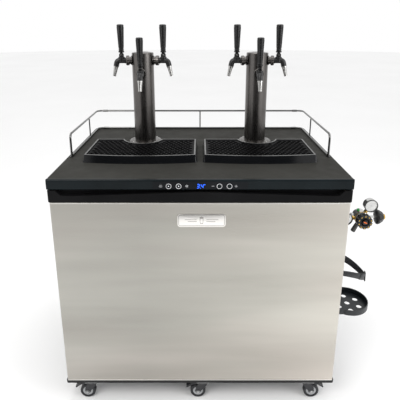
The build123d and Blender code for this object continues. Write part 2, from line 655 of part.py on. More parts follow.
with BuildPart() as door_liner:
    with BuildSketch(Plane.XZ.offset(-DOOR_BACK + 2)):
        with Locations((0, (STEEL_BOTTOM + 1 + DOOR_TOP) / 2)):
            RectangleRounded(2 * 494, DOOR_TOP - STEEL_BOTTOM - 2, 8)
    extrude(amount=-4)
    with BuildSketch(Plane.XZ.offset(-DOOR_BACK - 2)):
        with Locations((0, 485)):
            RectangleRounded(2 * 424, 640, 30)
    extrude(amount=-13, taper=20)
    with BuildSketch(Plane.XZ.offset(-DOOR_BACK - 15)):
        with Locations((0, 485)):
            with GridLocations(0, 190, 1, 3):
                RectangleRounded(740, 150, 20)
    extrude(amount=6, taper=20, mode=Mode.SUBTRACT)
save(door_liner.part, "door_liner")

with BuildPart() as door_gasket:
    with BuildSketch(Plane.XZ.offset(-DOOR_BACK - 2)):
        with Locations((0, 484)):
            RectangleRounded(2 * 472, 690, 12)
            RectangleRounded(2 * 457, 660, 6, mode=Mode.SUBTRACT)
    extrude(amount=-7.6)
    fillet(door_gasket.faces().sort_by(Axis.Y)[-1].edges(), 2)
save(door_gasket.part, "door_gasket")

with BuildPart() as door_badge:
    with BuildSketch(Plane.XZ.offset(-FRONT)):
        with Locations((5, DECK_Z - 144)):
            RectangleRounded(160, 46, 9)
    extrude(amount=1.6)
    with BuildSketch(Plane.XZ.offset(-FRONT + 1.6)):
        with Locations((5, DECK_Z - 144)):
            RectangleRounded(153, 39, 6)
            RectangleRounded(150, 36, 5, mode=Mode.SUBTRACT)
    extrude(amount=-0.6, mode=Mode.SUBTRACT)
save(door_badge.part, "door_badge")

with BuildPart() as cabinet_hinges:
    with BuildSketch(Plane.XY.offset(DOOR_TOP + 0.8)):
        with Locations((-469, -305)):
            RectangleRounded(54, 72, 5)
    extrude(amount=2.4)
    with BuildSketch(Plane.XY.offset(DOOR_TOP + 1)):
        with Locations((HINGE_X, HINGE_Y)):
            Circle(HINGE_R)
    extrude(amount=-23)
    with BuildSketch(Plane.XY.offset(BASE_TOP - 7)):
        with Locations((HINGE_X, HINGE_Y)):
            Circle(HINGE_R)
    extrude(amount=30)
    with BuildSketch(Plane.XY.offset(BASE_TOP)):
        with Locations((HINGE_X, HINGE_Y)):
            Circle(9)
    extrude(amount=1)
save(cabinet_hinges.part, "cabinet_hinges")

# ---------------------------------------------------------------- casters
with BuildPart() as wheel:          # axis along Y, centre at the origin
    with BuildSketch(Plane.XZ):
        Circle(WHEEL_R)
    extrude(amount=WHEEL_W / 2, both=True)
    fillet(wheel.edges().filter_by(GeomType.CIRCLE), 4)
    for s in (-1, 1):
        with BuildSketch(Plane.XZ.offset(s * WHEEL_W / 2)):
            Circle(WHEEL_R - 8)
            Circle(9, mode=Mode.SUBTRACT)
        extrude(amount=-s * 3.5, mode=Mode.SUBTRACT)
    with BuildSketch(Plane.XZ.offset(-WHEEL_W)):
        Circle(AXLE_R + 0.05)
    extrude(amount=2 * WHEEL_W, mode=Mode.SUBTRACT)

with BuildPart() as fork:           # swivel axis = Z through the origin, wheel trails to -X
    with BuildSketch(Plane.XY.offset(66)):
        Circle(19)
        Circle(5.05, mode=Mode.SUBTRACT)
    extrude(amount=7.6)
    for s in (-1, 1):
        with BuildSketch(Plane.XZ.offset(s * 13.2 - 1.25)):
            with BuildLine():
                Polyline((-18.5, 73), (12, 73), (12, 62), (-13, 30), (-17, 22), (-27, 22), (-31, 30),
                         (-30, 46), close=True)
            make_face()

        extrude(amount=2.5)
    with BuildSketch(Plane.XZ.offset(-14.6)):
        with Locations((-TRAIL, WHEEL_R)):
            Circle(AXLE_R)
    extrude(amount=29.2)
    for s in (-1, 1):
        with BuildSketch(Plane.XZ.offset(s * 15.6 - 1.2)):
            with Locations((-TRAIL, WHEEL_R)):
                RegularPolygon(7, 6)
        extrude(amount=2.4)
    # brake pedal over the wheel
    with BuildSketch(Plane.XZ.offset(-14.4)):
        with BuildLine():
            Polyline((-14, 67), (-14, 73), (-44, 70), (-66, 54), (-64, 50), (-43, 64), (-24, 67), close=True)
        make_face()
    extrude(amount=28.8)

with BuildPart() as swivel_plate:
    with BuildSketch(Plane.XY.offset(BASE_BOTTOM - 3)):
        RectangleRounded(56, 52, 5)
    extrude(amount=3)
    with BuildSketch(Plane.XY.offset(73.8)):
        Circle(17)
    extrude(amount=BASE_BOTTOM - 3 - 73.8)
    with BuildSketch(Plane.XY.offset(61)):
        Circle(5)
    extrude(amount=14)
    with BuildSketch(Plane.XY.offset(61)):
        Circle(8)
    extrude(amount=4.6)

with BuildPart() as caster_plates:
    with Locations(*[(x, FRONT_CASTER_Y, 0) for x, _ in FRONT_CASTERS.values()]):
        add(swivel_plate.part)
save(caster_plates.part, "caster_plates")

for name, (x, d) in FRONT_CASTERS.items():
    with BuildPart() as caster_fork:
        with Locations(Location((x, FRONT_CASTER_Y, 0), (0, 0, 0 if d < 0 else 180))):
            add(fork.part)
    save(caster_fork.part, f"caster_fork_{name}")
    with BuildPart() as caster_wheel:
        with Locations((x + d * TRAIL, FRONT_CASTER_Y, WHEEL_R)):
            add(wheel.part)
    save(caster_wheel.part, f"caster_wheel_{name}")

with BuildPart() as rigid_frame:    # fixed caster, wheel axis along X, centre under the plate
    with BuildSketch(Plane.XY.offset(BASE_BOTTOM - 3)):
        RectangleRounded(52, 70, 5)
    extrude(amount=3)
    for s in (-1, 1):
        with BuildSketch(Plane.YZ.offset(s * 13.2 - 1.25)):
            with BuildLine():
                Polyline((-26, 83), (26, 83), (8, 24), (4, 20), (-4, 20), (-8, 24), close=True)
            make_face()
        extrude(amount=2.5)
    with BuildSketch(Plane.YZ.offset(-16)):
        with Locations((0, WHEEL_R)):
            Circle(AXLE_R)
    extrude(amount=32)
with BuildPart() as rear_caster_frames:
    with Locations(*[(x, REAR_CASTER_Y, 0) for x in REAR_CASTERS.values()]):
        add(rigid_frame.part)
save(rear_caster_frames.part, "rear_caster_frames")
for name, x in REAR_CASTERS.items():
    with BuildPart() as caster_wheel:
        with Locations(Location((x, REAR_CASTER_Y, WHEEL_R), (0, 0, 90))):
            add(wheel.part)
    save(caster_wheel.part, f"caster_wheel_{name}")

# ---------------------------------------------------------------- gas bottle bracket and strap
BX = SHELL_X
with BuildPart() as bottle_bracket:
    with BuildSketch(Plane.YZ.offset(BX)):
        with Locations((BRACKET_Y, BRACKET_Z + BRACKET_H / 2)):
            Rectangle(BRACKET_W, BRACKET_H)
            with Locations((-34, 100), (34, 100)):
                Circle(7, mode=Mode.SUBTRACT)
            with Locations((-34, 109), (34, 109)):
                SlotOverall(24, 8, rotation=90, mode=Mode.SUBTRACT)
            with Locations((-34, -78), (34, -78)):
                Circle(5.5, mode=Mode.SUBTRACT)
            with Locations((-34, -70), (34, -70)):
                SlotOverall(18, 6, rotation=90, mode=Mode.SUBTRACT)
    extrude(amount=BRACKET_T)
    # side flanges, turned out from the plate, with a slot each for the strap
    with BuildSketch(Plane.XZ.offset(-BRACKET_Y - BRACKET_W / 2)):
        with BuildLine():
            Polyline((BX, BRACKET_Z), (BX + 26, BRACKET_Z), (BX + 22, BRACKET_Z + 40),
                     (BX + 20, BRACKET_Z + BRACKET_H), (BX, BRACKET_Z + BRACKET_H), close=True)
        make_face()
        with Locations((BX + 12, BRACKET_Z + BRACKET_H / 2 + 46)):
            SlotOverall(34, 5, rotation=90, mode=Mode.SUBTRACT)
    extrude(amount=BRACKET_W)
    with BuildSketch(Plane.XY.offset(BRACKET_Z - 1)):
        with Locations((BX + BRACKET_T + 20, BRACKET_Y)):
            Rectangle(40, BRACKET_W - 2 * BRACKET_T)
    extrude(amount=BRACKET_H + 2, mode=Mode.SUBTRACT)
    with BuildSketch(Plane.XY.offset(BRACKET_Z)):
        with Locations((BX + 40, BRACKET_Y)):
            Rectangle(80, BRACKET_W)
        with Locations((BX + 79, BRACKET_Y)):
            Circle(SHELF_R)
        with Locations((BX + 79, BRACKET_Y)):
            with PolarLocations(44, 6, start_angle=30):
                Circle(10, mode=Mode.SUBTRACT)
            Circle(10, mode=Mode.SUBTRACT)
    extrude(amount=BRACKET_T)
    with BuildSketch(Plane.XY.offset(BRACKET_Z)):
        with BuildSketch(mode=Mode.PRIVATE) as outer:
            with Locations((BX + 40, BRACKET_Y)):
                Rectangle(80, BRACKET_W)
            with Locations((BX + 79, BRACKET_Y)):
                Circle(SHELF_R)
        add(outer.sketch)
        offset(outer.sketch, amount=-BRACKET_T, mode=Mode.SUBTRACT)
        with Locations((BX + 5, BRACKET_Y)):
            Rectangle(10, BRACKET_W - 2 * BRACKET_T, mode=Mode.SUBTRACT)
    extrude(amount=22)
save(bottle_bracket.part, "bottle_bracket")

STRAP_Z = BRACKET_Z + BRACKET_H / 2 + 40
with BuildPart() as bracket_strap:
    pl = Plane(origin=(BX + BRACKET_T + 9.5, BRACKET_Y, STRAP_Z), x_dir=(1, 0, -0.42), z_dir=(0.42, 0, 1))
    with BuildSketch(pl):
        with BuildLine():
            Line((-4, -68.9), (52, -72.3))
            ThreePointArc((52, -72.3), (132, 0), (52, 72.3))
            Line((52, 72.3), (-4, 68.9))
            Line((-4, 68.9), (-4, 66.7))
            Line((-4, 66.7), (52, 70.1))
            ThreePointArc((52, 70.1), (129.8, 0), (52, -70.1))
            Line((52, -70.1), (-4, -66.7))
            Line((-4, -66.7), (-4, -68.9))
        make_face()
    extrude(amount=12.5, both=True)
save(bracket_strap.part, "bracket_strap")

# ---------------------------------------------------------------- gas regulator at its wall inlet
GAUGE_R = 24.0
GAUGE_D = 57.0            # gauge centres from the body axis
GAUGES = [(183.0, "left"), (59.0, "upper")]
with BuildPart() as regulator_body:
    with BuildSketch(Plane.XZ.offset(-REG_Y - 22)):
        with Locations((REG_X, REG_Z)):
            Circle(25)
    extrude(amount=40)
    fillet(regulator_body.edges().filter_by(GeomType.CIRCLE), 3)
    with BuildSketch(Plane.XZ.offset(-REG_Y + 17)):
        with Locations((REG_X, REG_Z)):
            Circle(17)
    extrude(amount=7)
    with BuildSketch(Plane.XZ.offset(-REG_Y - 5)):
        with Locations((REG_X, REG_Z)):
            Circle(4.05)
    extrude(amount=50, mode=Mode.SUBTRACT)
    # outlet to the bulkhead in the cabinet wall
    with BuildSketch(Plane.YZ.offset(SHELL_X)):
        with Locations((REG_Y + 12, REG_Z)):
            Circle(6.5)
    extrude(amount=REG_X - SHELL_X - 15)
    with BuildSketch(Plane.YZ.offset(SHELL_X)):
        with Locations((REG_Y + 12, REG_Z)):
            RegularPolygon(14, 6)
    extrude(amount=9)
    with BuildSketch(Plane.YZ.offset(SHELL_X + 62)):
        with Locations((REG_Y + 12, REG_Z)):
            RegularPolygon(10.5, 6)
    extrude(amount=8)
    # gauge stems
    for ga, _ in GAUGES:
        a = math.radians(ga)
        pl = Plane(origin=(REG_X + 20 * math.cos(a), REG_Y - 6, REG_Z + 20 * math.sin(a)),
                   x_dir=(0, 1, 0), z_dir=(math.cos(a), 0, math.sin(a)))
        with BuildSketch(pl):
            RegularPolygon(6.5, 6)
        extrude(amount=GAUGE_D - GAUGE_R - 20)
    # shut-off tail for the gas line, relief valve
    for ga, radius, reach in ((245.0, 6.5, 60.0), (114.0, 4.0, 36.0)):
        a = math.radians(ga)
        pl = Plane(origin=(REG_X + 20 * math.cos(a), REG_Y - 6, REG_Z + 20 * math.sin(a)),
                   x_dir=(0, 1, 0), z_dir=(math.cos(a), 0, math.sin(a)))
        with BuildSketch(pl):
            Circle(radius)
        extrude(amount=reach - 20)
    # inlet stem out to the handwheel nut
    with BuildSketch(Plane.YZ.offset(REG_X + 18)):
        with Locations((REG_Y, REG_Z)):
            Circle(5)
    extrude(amount=44)
    pl = Plane(origin=(REG_X, REG_Y, REG_Z), x_dir=(0, 0, 1), z_dir=(0, -1, 0))
    with BuildSketch(pl):
        with BuildLine():
            Polyline((0, -56), (22, -56), (26, -58), (27, -61), (24.5, -64.5), (15, -80), (9, -81),
                     (9, -88), (0, -88), close=True)
        make_face()
    revolve(axis=Axis((0, REG_Y, REG_Z), (1, 0, 0)))
save(regulator_body.part, "regulator_body")

with BuildPart() as regulator_gauges:
    for ga, _ in GAUGES:
        gx = REG_X + GAUGE_D * math.cos(math.radians(ga))
        gz = REG_Z + GAUGE_D * math.sin(math.radians(ga))
        with BuildSketch(Plane.XZ.offset(-REG_Y - 5)):
            with Locations((gx, gz)):
                Circle(GAUGE_R)
        extrude(amount=22)
        with BuildSketch(Plane.XZ.offset(-REG_Y + 14)):
            with Locations((gx, gz)):
                Circle(GAUGE_R - 2, mode=Mode.ADD)
        extrude(amount=5, mode=Mode.SUBTRACT)
save(regulator_gauges.part, "regulator_gauges")

with BuildPart() as regulator_knob:
    with BuildSketch(Plane.XZ.offset(-REG_Y + 24.4)):
        with Locations((REG_X, REG_Z)):
            Circle(27)
            with PolarLocations(28.6, 10):
                Circle(4.2, mode=Mode.SUBTRACT)
    extrude(amount=24)
    fillet(regulator_knob.faces().sort_by(Axis.Y)[0].edges(), 1.2)
    with BuildSketch(Plane.XZ.offset(-REG_Y - 2)):
        with Locations((REG_X, REG_Z)):
            Circle(4)
    extrude(amount=28)
save(regulator_knob.part, "regulator_knob")

# ---------------------------------------------------------------- keg disconnects, parked on a rack
RACK = [(x, z) for z in (640.0, 720.0) for x in (270.0, 330.0, 390.0)]
with BuildPart() as disconnect_rack:
    with BuildSketch(Plane.XZ.offset(-EV_BACK)):
        with Locations((330, 680)):
            RectangleRounded(184, 150, 10)
    extrude(amount=2)
    with BuildSketch(Plane.XZ.offset(-EV_BACK + 2)):
        with Locations(*RACK):
            Circle(9)
    extrude(amount=14)
    with BuildSketch(Plane.XZ.offset(-EV_BACK + 16)):
        with Locations(*RACK):
            Circle(7)
    extrude(amount=6)
save(disconnect_rack.part, "disconnect_rack")

with BuildPart() as disconnect:    # axis along -Y from the rack face, drawn at x = z = 0
    with BuildSketch(Plane.XZ.offset(-EV_BACK + 6)):
        Circle(15)
        Circle(9.2, mode=Mode.SUBTRACT)
    extrude(amount=17)
    with BuildSketch(Plane.XZ.offset(-EV_BACK + 23)):
        Circle(13)
    extrude(amount=20)
    fillet(disconnect.faces().sort_by(Axis.Y)[0].edges(), 3)
    with BuildSketch(Plane.XY.offset(0)):
        with Locations((0, EV_BACK - 33)):
            Circle(4.5)
    extrude(amount=-28)
    with BuildSketch(Plane.XY.offset(-28)):
        with Locations((0, EV_BACK - 33)):
            Circle(6.5)
    extrude(amount=6)
with BuildPart() as collar:
    with BuildSketch(Plane.XZ.offset(-EV_BACK + 8)):
        Circle(18)
        Circle(15.05, mode=Mode.SUBTRACT)
    extrude(amount=12)
with BuildPart() as disconnects:
    with Locations(*[(x, 0, z) for x, z in RACK]):
        add(disconnect.part)
        add(collar.part)
save(disconnects.part, "disconnects")
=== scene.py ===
import math
import random

import bmesh
import bpy
from mathutils import Matrix, Vector


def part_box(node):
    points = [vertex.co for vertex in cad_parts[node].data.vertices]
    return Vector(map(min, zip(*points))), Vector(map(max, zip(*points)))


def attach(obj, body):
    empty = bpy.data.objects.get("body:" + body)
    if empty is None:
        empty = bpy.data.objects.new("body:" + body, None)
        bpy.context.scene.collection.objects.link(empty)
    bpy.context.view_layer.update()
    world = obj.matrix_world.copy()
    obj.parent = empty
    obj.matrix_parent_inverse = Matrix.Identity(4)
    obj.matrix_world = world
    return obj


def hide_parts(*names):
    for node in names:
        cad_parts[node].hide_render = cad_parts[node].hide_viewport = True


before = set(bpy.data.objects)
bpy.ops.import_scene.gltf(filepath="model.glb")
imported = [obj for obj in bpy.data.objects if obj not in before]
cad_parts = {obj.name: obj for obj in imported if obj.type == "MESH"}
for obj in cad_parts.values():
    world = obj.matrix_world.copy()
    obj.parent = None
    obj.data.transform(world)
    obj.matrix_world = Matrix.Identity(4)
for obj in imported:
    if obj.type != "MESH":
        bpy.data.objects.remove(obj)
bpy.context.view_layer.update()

random.seed(7)
scene = bpy.context.scene
scene.view_settings.view_transform = "Standard"
scene.view_settings.look = "None"

# ------------------------------------------------------------------ places
# The worktop and the cabinet give the offsets between the drawing's millimetres and the frame.
deck_lo, deck_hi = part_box("top_deck")
OX = (deck_lo.x + deck_hi.x) / 2
OY = deck_hi.y - 0.353
DECK = deck_hi.z
FRONT = OY - 0.353


def C(x, y, z):
    """A point given in millimetres from the middle of the cabinet and the floor."""
    return Vector((x / 1000 + OX, y / 1000 + OY, z / 1000))


# ------------------------------------------------------------------ camera
cam_data = bpy.data.cameras.new("camera")
cam = bpy.data.objects.new("camera", cam_data)
scene.collection.objects.link(cam)
cam_data.sensor_width = 36
cam_data.lens = 38.40
cam_data.shift_y = -0.1375
cam_data.dof.use_dof = False
cam.location = (OX - 0.0002, FRONT - 1.2928, DECK + 0.4857)
cam.rotation_euler = (math.radians(90 - 15.94), 0, 0)
cam_data.clip_start = 0.02
cam_data.clip_end = 60
scene.camera = cam


# ------------------------------------------------------------------ materials
class Net:
    """A small wrapper for building one node material."""

    def __init__(self, name):
        self.mat = bpy.data.materials.new(name)
        self.mat.use_nodes = True
        self.nt = self.mat.node_tree
        self.nt.nodes.clear()
        out = self.nt.nodes.new("ShaderNodeOutputMaterial")
        self.b = self.nt.nodes.new("ShaderNodeBsdfPrincipled")
        self.nt.links.new(self.b.outputs[0], out.inputs[0])
        self.co = self.nt.nodes.new("ShaderNodeTexCoord").outputs["Object"]

    def set(self, **kw):
        for k, v in kw.items():
            key = k.replace("_", " ")
            key = {"Specular": "Specular IOR Level"}.get(key, key)
            self.b.inputs[key].default_value = v
        return self

    def mapped(self, scale=(1, 1, 1), rot=(0, 0, 0), loc=(0, 0, 0)):
        n = self.nt.nodes.new("ShaderNodeMapping")
        n.inputs["Scale"].default_value = scale
        n.inputs["Rotation"].default_value = rot
        n.inputs["Location"].default_value = loc
        self.nt.links.new(self.co, n.inputs["Vector"])
        return n.outputs[0]

    def noise(self, scale, stretch=(1, 1, 1), detail=4.0, rough=0.55, rot=(0, 0, 0), loc=(0, 0, 0)):
        n = self.nt.nodes.new("ShaderNodeTexNoise")
        n.inputs["Scale"].default_value = scale
        n.inputs["Detail"].default_value = detail
        n.inputs["Roughness"].default_value = rough
        self.nt.links.new(self.mapped(stretch, rot, loc), n.inputs["Vector"])
        return n.outputs["Fac"]

    def wave(self, scale, stretch=(1, 1, 1), direction="X", distortion=0.0, rot=(0, 0, 0)):
        n = self.nt.nodes.new("ShaderNodeTexWave")
        n.bands_direction = direction
        n.inputs["Scale"].default_value = scale
        n.inputs["Distortion"].default_value = distortion
        self.nt.links.new(self.mapped(stretch, rot), n.inputs["Vector"])
        return n.outputs["Fac"]

    def voronoi(self, scale, stretch=(1, 1, 1), feature="F1"):
        n = self.nt.nodes.new("ShaderNodeTexVoronoi")
        n.feature = feature
        n.inputs["Scale"].default_value = scale
        self.nt.links.new(self.mapped(stretch), n.inputs["Vector"])
        return n.outputs["Distance"]

    def ramp(self, fac, stops):
        n = self.nt.nodes.new("ShaderNodeValToRGB")
        e = n.color_ramp.elements
        while len(e) < len(stops):
            e.new(0.5)
        for el, (p, c) in zip(e, stops):
            el.position = p
            el.color = (*c, 1)
        self.nt.links.new(fac, n.inputs["Fac"])
        return n.outputs["Color"]

    def remap(self, fac, lo, hi, a=0.3, z=0.7):
        n = self.nt.nodes.new("ShaderNodeMapRange")
        n.inputs["From Min"].default_value = a
        n.inputs["From Max"].default_value = z
        n.inputs["To Min"].default_value = lo
        n.inputs["To Max"].default_value = hi
        self.nt.links.new(fac, n.inputs["Value"])
        return n.outputs["Result"]

    def add(self, a, b, op="ADD"):
        n = self.nt.nodes.new("ShaderNodeMath")
        n.operation = op
        self.nt.links.new(a, n.inputs[0])
        if isinstance(b, (int, float)):
            n.inputs[1].default_value = b
        else:
            self.nt.links.new(b, n.inputs[1])
        return n.outputs[0]

    def mix(self, fac, a, b, blend="MIX"):
        n = self.nt.nodes.new("ShaderNodeMix")
        n.data_type = "RGBA"
        n.blend_type = blend
        for i, v in ((0, fac), (6, a), (7, b)):
            if isinstance(v, (int, float)):
                n.inputs[i].default_value = v
            elif isinstance(v, tuple):
                n.inputs[i].default_value = (*v, 1)
            else:
                self.nt.links.new(v, n.inputs[i])
        return n.outputs[2]

    def edge_wear(self, width=0.0008):
        """1 on edges, 0 on flats, from the bevel-rounded normal against the true one."""
        bev = self.nt.nodes.new("ShaderNodeBevel")
        bev.samples = 4
        bev.inputs["Radius"].default_value = width
        geo = self.nt.nodes.new("ShaderNodeNewGeometry")
        dot = self.nt.nodes.new("ShaderNodeVectorMath")
        dot.operation = "DOT_PRODUCT"
        self.nt.links.new(bev.outputs[0], dot.inputs[0])
        self.nt.links.new(geo.outputs["Normal"], dot.inputs[1])
        inv = self.nt.nodes.new("ShaderNodeMath")
        inv.operation = "SUBTRACT"
        inv.inputs[0].default_value = 1.0
        self.nt.links.new(dot.outputs["Value"], inv.inputs[1])
        return inv.outputs[0]

    def color(self, c):
        self.nt.links.new(c, self.b.inputs["Base Color"])
        return self

    def rough(self, r):
        self.nt.links.new(r, self.b.inputs["Roughness"])
        return self

    def bump(self, h, strength=0.2, dist=0.0005):
        n = self.nt.nodes.new("ShaderNodeBump")
        n.inputs["Strength"].default_value = strength
        n.inputs["Distance"].default_value = dist
        self.nt.links.new(h, n.inputs["Height"])
        self.nt.links.new(n.outputs[0], self.b.inputs["Normal"])
        return self


def shade(c, k):
    return tuple(min(1.0, x * k) for x in c)


def moulded(name, c, r=(0.3, 0.45), grain=900, strength=0.12, dist=0.0002, spec=0.5, coat=0.0, var=0.25):
    """Moulded plastic: fine grain, broad patches of handling, slightly varied colour."""
    n = Net(name)
    big = n.noise(9, detail=5)
    fine = n.noise(grain, detail=2)
    n.color(n.ramp(big, [(0.3, shade(c, 1 - var)), (0.55, c), (0.75, shade(c, 1 + var))]))
    n.rough(n.remap(n.noise(35, detail=6), r[0], r[1]))
    n.bump(fine, strength, dist)
    n.set(Specular=spec, Coat_Weight=coat, Coat_Roughness=0.06)
    return n.mat


def metal(name, c, r=(0.2, 0.32), stretch=(1, 1, 60), scale=40, strength=0.05, dist=0.0001, var=0.08, patch=4, aniso=0.0):
    n = Net(name)
    big = n.noise(patch, detail=4)
    grain = n.noise(scale, stretch=stretch, detail=6, rough=0.7)
    base = n.ramp(big, [(0.3, shade(c, 1 - var)), (0.7, shade(c, 1 + var))])
    lines = n.ramp(grain, [(0.25, (0.86, 0.86, 0.86)), (0.75, (1.0, 1.0, 1.0))])
    n.color(n.mix(0.6, base, lines, "MULTIPLY"))
    n.rough(n.remap(grain, r[0], r[1]))
    n.bump(grain, strength, dist)
    n.set(Metallic=1.0, Anisotropic=aniso)
    return n.mat


M = {}


def door_steel():
    """Brushed stainless sheet: long horizontal brush lines over broad soft horizontal streaks of painted reflection,
    with painted light growing brighter towards the right edge.
    """
    n = Net("door_steel")
    # painted reflection: broad lighter and darker horizontal streaks in the colour, also varying the roughness a little
    painted_reflection_bands = n.noise(2.1, stretch=(0.28, 1, 2.6), detail=3, rough=0.5, loc=(3.1, 0, 1.4))
    tint = n.noise(1.6, stretch=(0.6, 1, 1.7), detail=2, loc=(7.0, 0, 2.0))
    line = n.noise(30, stretch=(0.35, 1, 42), detail=7, rough=0.72)
    fine = n.noise(120, stretch=(0.25, 1, 30), detail=4, rough=0.8)
    base = n.ramp(painted_reflection_bands, [(0.30, (0.385, 0.366, 0.342)), (0.45, (0.45, 0.43, 0.403)), (0.56, (0.51, 0.488, 0.458)),
                          (0.70, (0.57, 0.546, 0.513))])
    warm = n.ramp(tint, [(0.35, (0.97, 1.0, 0.975)), (0.65, (1.0, 0.975, 0.955))])
    c = n.mix(0.8, base, warm, "MULTIPLY")
    # painted light across the door: darker on the left, much brighter towards the right edge
    sep = n.nt.nodes.new("ShaderNodeSeparateXYZ")
    n.nt.links.new(n.co, sep.inputs[0])
    painted_light_across = n.remap(sep.outputs["X"], 0.0, 1.0, OX - 0.5, OX + 0.5)
    c = n.mix(1.0, c, n.ramp(painted_light_across, [(0.0, (0.93, 0.93, 0.93)), (0.30, (0.90, 0.90, 0.90)), (0.72, (1.06, 1.055, 1.045)),
                                      (1.0, (1.22, 1.205, 1.19))]), "MULTIPLY")
    lines = n.ramp(line, [(0.3, (0.90, 0.90, 0.90)), (0.7, (1.0, 1.0, 1.0))])
    n.color(n.mix(0.55, c, lines, "MULTIPLY"))
    n.rough(n.add(n.remap(line, 0.26, 0.36), n.remap(painted_reflection_bands, -0.02, 0.05)))
    n.bump(n.add(line, fine), 0.10, 0.00012)
    n.set(Metallic=1.0, Anisotropic=0.35)
    return n.mat


def worktop():
    """Matte dark grey worktop with a fine pebbled grain and a little dust in the pits."""
    n = Net("worktop")
    big = n.noise(3.2, stretch=(1, 1.4, 1), detail=4)
    speck = n.noise(520, detail=3, rough=0.7)
    cell = n.voronoi(700)
    c = n.ramp(big, [(0.3, (0.0275, 0.0270, 0.0240)), (0.7, (0.0385, 0.0380, 0.0345))])
    s = n.ramp(speck, [(0.35, (0.82, 0.82, 0.82)), (0.7, (1.15, 1.15, 1.15))])
    n.color(n.mix(0.5, c, s, "MULTIPLY"))
    n.rough(n.remap(n.noise(22, detail=6), 0.50, 0.64))
    n.bump(n.add(speck, cell), 0.25, 0.0003)
    n.set(Specular=0.04)
    return n.mat


def gloss_black(name="gloss_black", tint=(0.0055, 0.0085, 0.0100), spec=0.13, rough=(0.10, 0.2)):
    n = Net(name)
    big = n.noise(5, detail=5)
    smear = n.noise(16, stretch=(0.6, 1, 3), detail=7, rough=0.65)
    n.color(n.ramp(big, [(0.3, shade(tint, 0.7)), (0.7, shade(tint, 1.4))]))
    n.rough(n.remap(smear, rough[0], rough[1]))
    n.bump(n.noise(60, detail=2), 0.03, 0.0004)
    n.set(Specular=spec)
    return n.mat


def gunmetal():
    """Black stainless tube: dark warm grey, lengthwise polish marks."""
    n = Net("gunmetal")
    grain = n.noise(55, stretch=(7, 7, 0.18), detail=6, rough=0.7)
    big = n.noise(5, stretch=(1, 1, 0.6), detail=3)
    c = n.ramp(big, [(0.3, (0.128, 0.120, 0.115)), (0.7, (0.152, 0.144, 0.138))])
    l = n.ramp(grain, [(0.3, (0.95, 0.95, 0.95)), (0.7, (1.0, 1.0, 1.0))])
    n.color(n.mix(0.7, c, l, "MULTIPLY"))
    n.rough(n.remap(grain, 0.25, 0.30))
    n.bump(grain, 0.02, 0.00005)
    n.set(Metallic=1.0)
    return n.mat


def chrome(name="chrome", c=(0.62, 0.62, 0.61), r=(0.05, 0.16)):
    n = Net(name)
    smear = n.noise(45, detail=7, rough=0.6)
    n.color(n.ramp(n.noise(14, detail=3), [(0.3, shade(c, 0.92)), (0.7, c)]))
    n.rough(n.remap(smear, r[0], r[1]))
    n.bump(n.noise(240, detail=2), 0.02, 0.0001)
    n.set(Metallic=1.0)
    return n.mat


def webbing():
    """Woven black strap: two crossed sets of yarns."""
    n = Net("webbing")
    a = n.wave(340, stretch=(1, 1, 1), direction="DIAGONAL")
    b = n.wave(340, stretch=(-1, 1, 1), direction="DIAGONAL")
    weave = n.add(a, b, "MAXIMUM")
    fuzz = n.noise(900, detail=2)
    n.color(n.ramp(weave, [(0.2, (0.006, 0.006, 0.007)), (0.9, (0.024, 0.025, 0.028))]))
    n.rough(n.remap(fuzz, 0.7, 0.9))
    n.bump(n.add(weave, fuzz), 0.6, 0.0004)
    n.set(Sheen_Weight=0.25, Sheen_Roughness=0.5, Specular=0.3)
    return n.mat


def foam_mat():
    n = Net("foam")
    n.color(n.ramp(n.noise(160, detail=5), [(0.3, (0.55, 0.44, 0.24)), (0.7, (0.72, 0.6, 0.36))]))
    n.rough(n.remap(n.noise(30), 0.8, 0.95))
    n.bump(n.voronoi(500), 0.5, 0.0006)
    return n.mat


def dial():
    """Printed white gauge card."""
    n = Net("dial")
    n.color(n.ramp(n.noise(60, detail=3), [(0.3, (0.80, 0.80, 0.79)), (0.7, (0.88, 0.88, 0.87))]))
    n.rough(n.remap(n.noise(200), 0.45, 0.6))
    return n.mat


def glow(name, c, strength):
    n = Net(name)
    n.color(n.ramp(n.noise(900, detail=1), [(0.3, shade(c, 0.8)), (0.7, c)]))
    n.rough(n.remap(n.noise(300), 0.3, 0.4))
    n.nt.links.new(n.ramp(n.noise(700, detail=1), [(0.3, shade(c, 0.85)), (0.7, c)]), n.b.inputs["Emission Color"])
    n.set(Emission_Strength=strength)
    return n.mat


def lens():
    n = Net("lens")
    n.color(n.ramp(n.noise(40, detail=3), [(0.3, (0.95, 0.96, 0.96)), (0.7, (1, 1, 1))]))
    n.rough(n.remap(n.noise(90), 0.03, 0.08))
    n.set(Alpha=0.10, Specular=0.5)
    return n.mat


M["door"] = door_steel()
M["deck"] = worktop()
M["gloss"] = gloss_black()
M["trim"] = gloss_black("trim_black", (0.0062, 0.0062, 0.0066), 0.055, (0.26, 0.38))
M["tray"] = gloss_black("tray_black", (0.0045, 0.005, 0.006), 0.30, (0.10, 0.18))
# a paler copy of the tray's black for the rim's top faces: painted highlight
M["tray_rim_painted_highlight"] = moulded("tray_rim_painted_highlight", (0.085, 0.085, 0.083), (0.25, 0.36), 900, 0.12, 0.0001, 0.5)
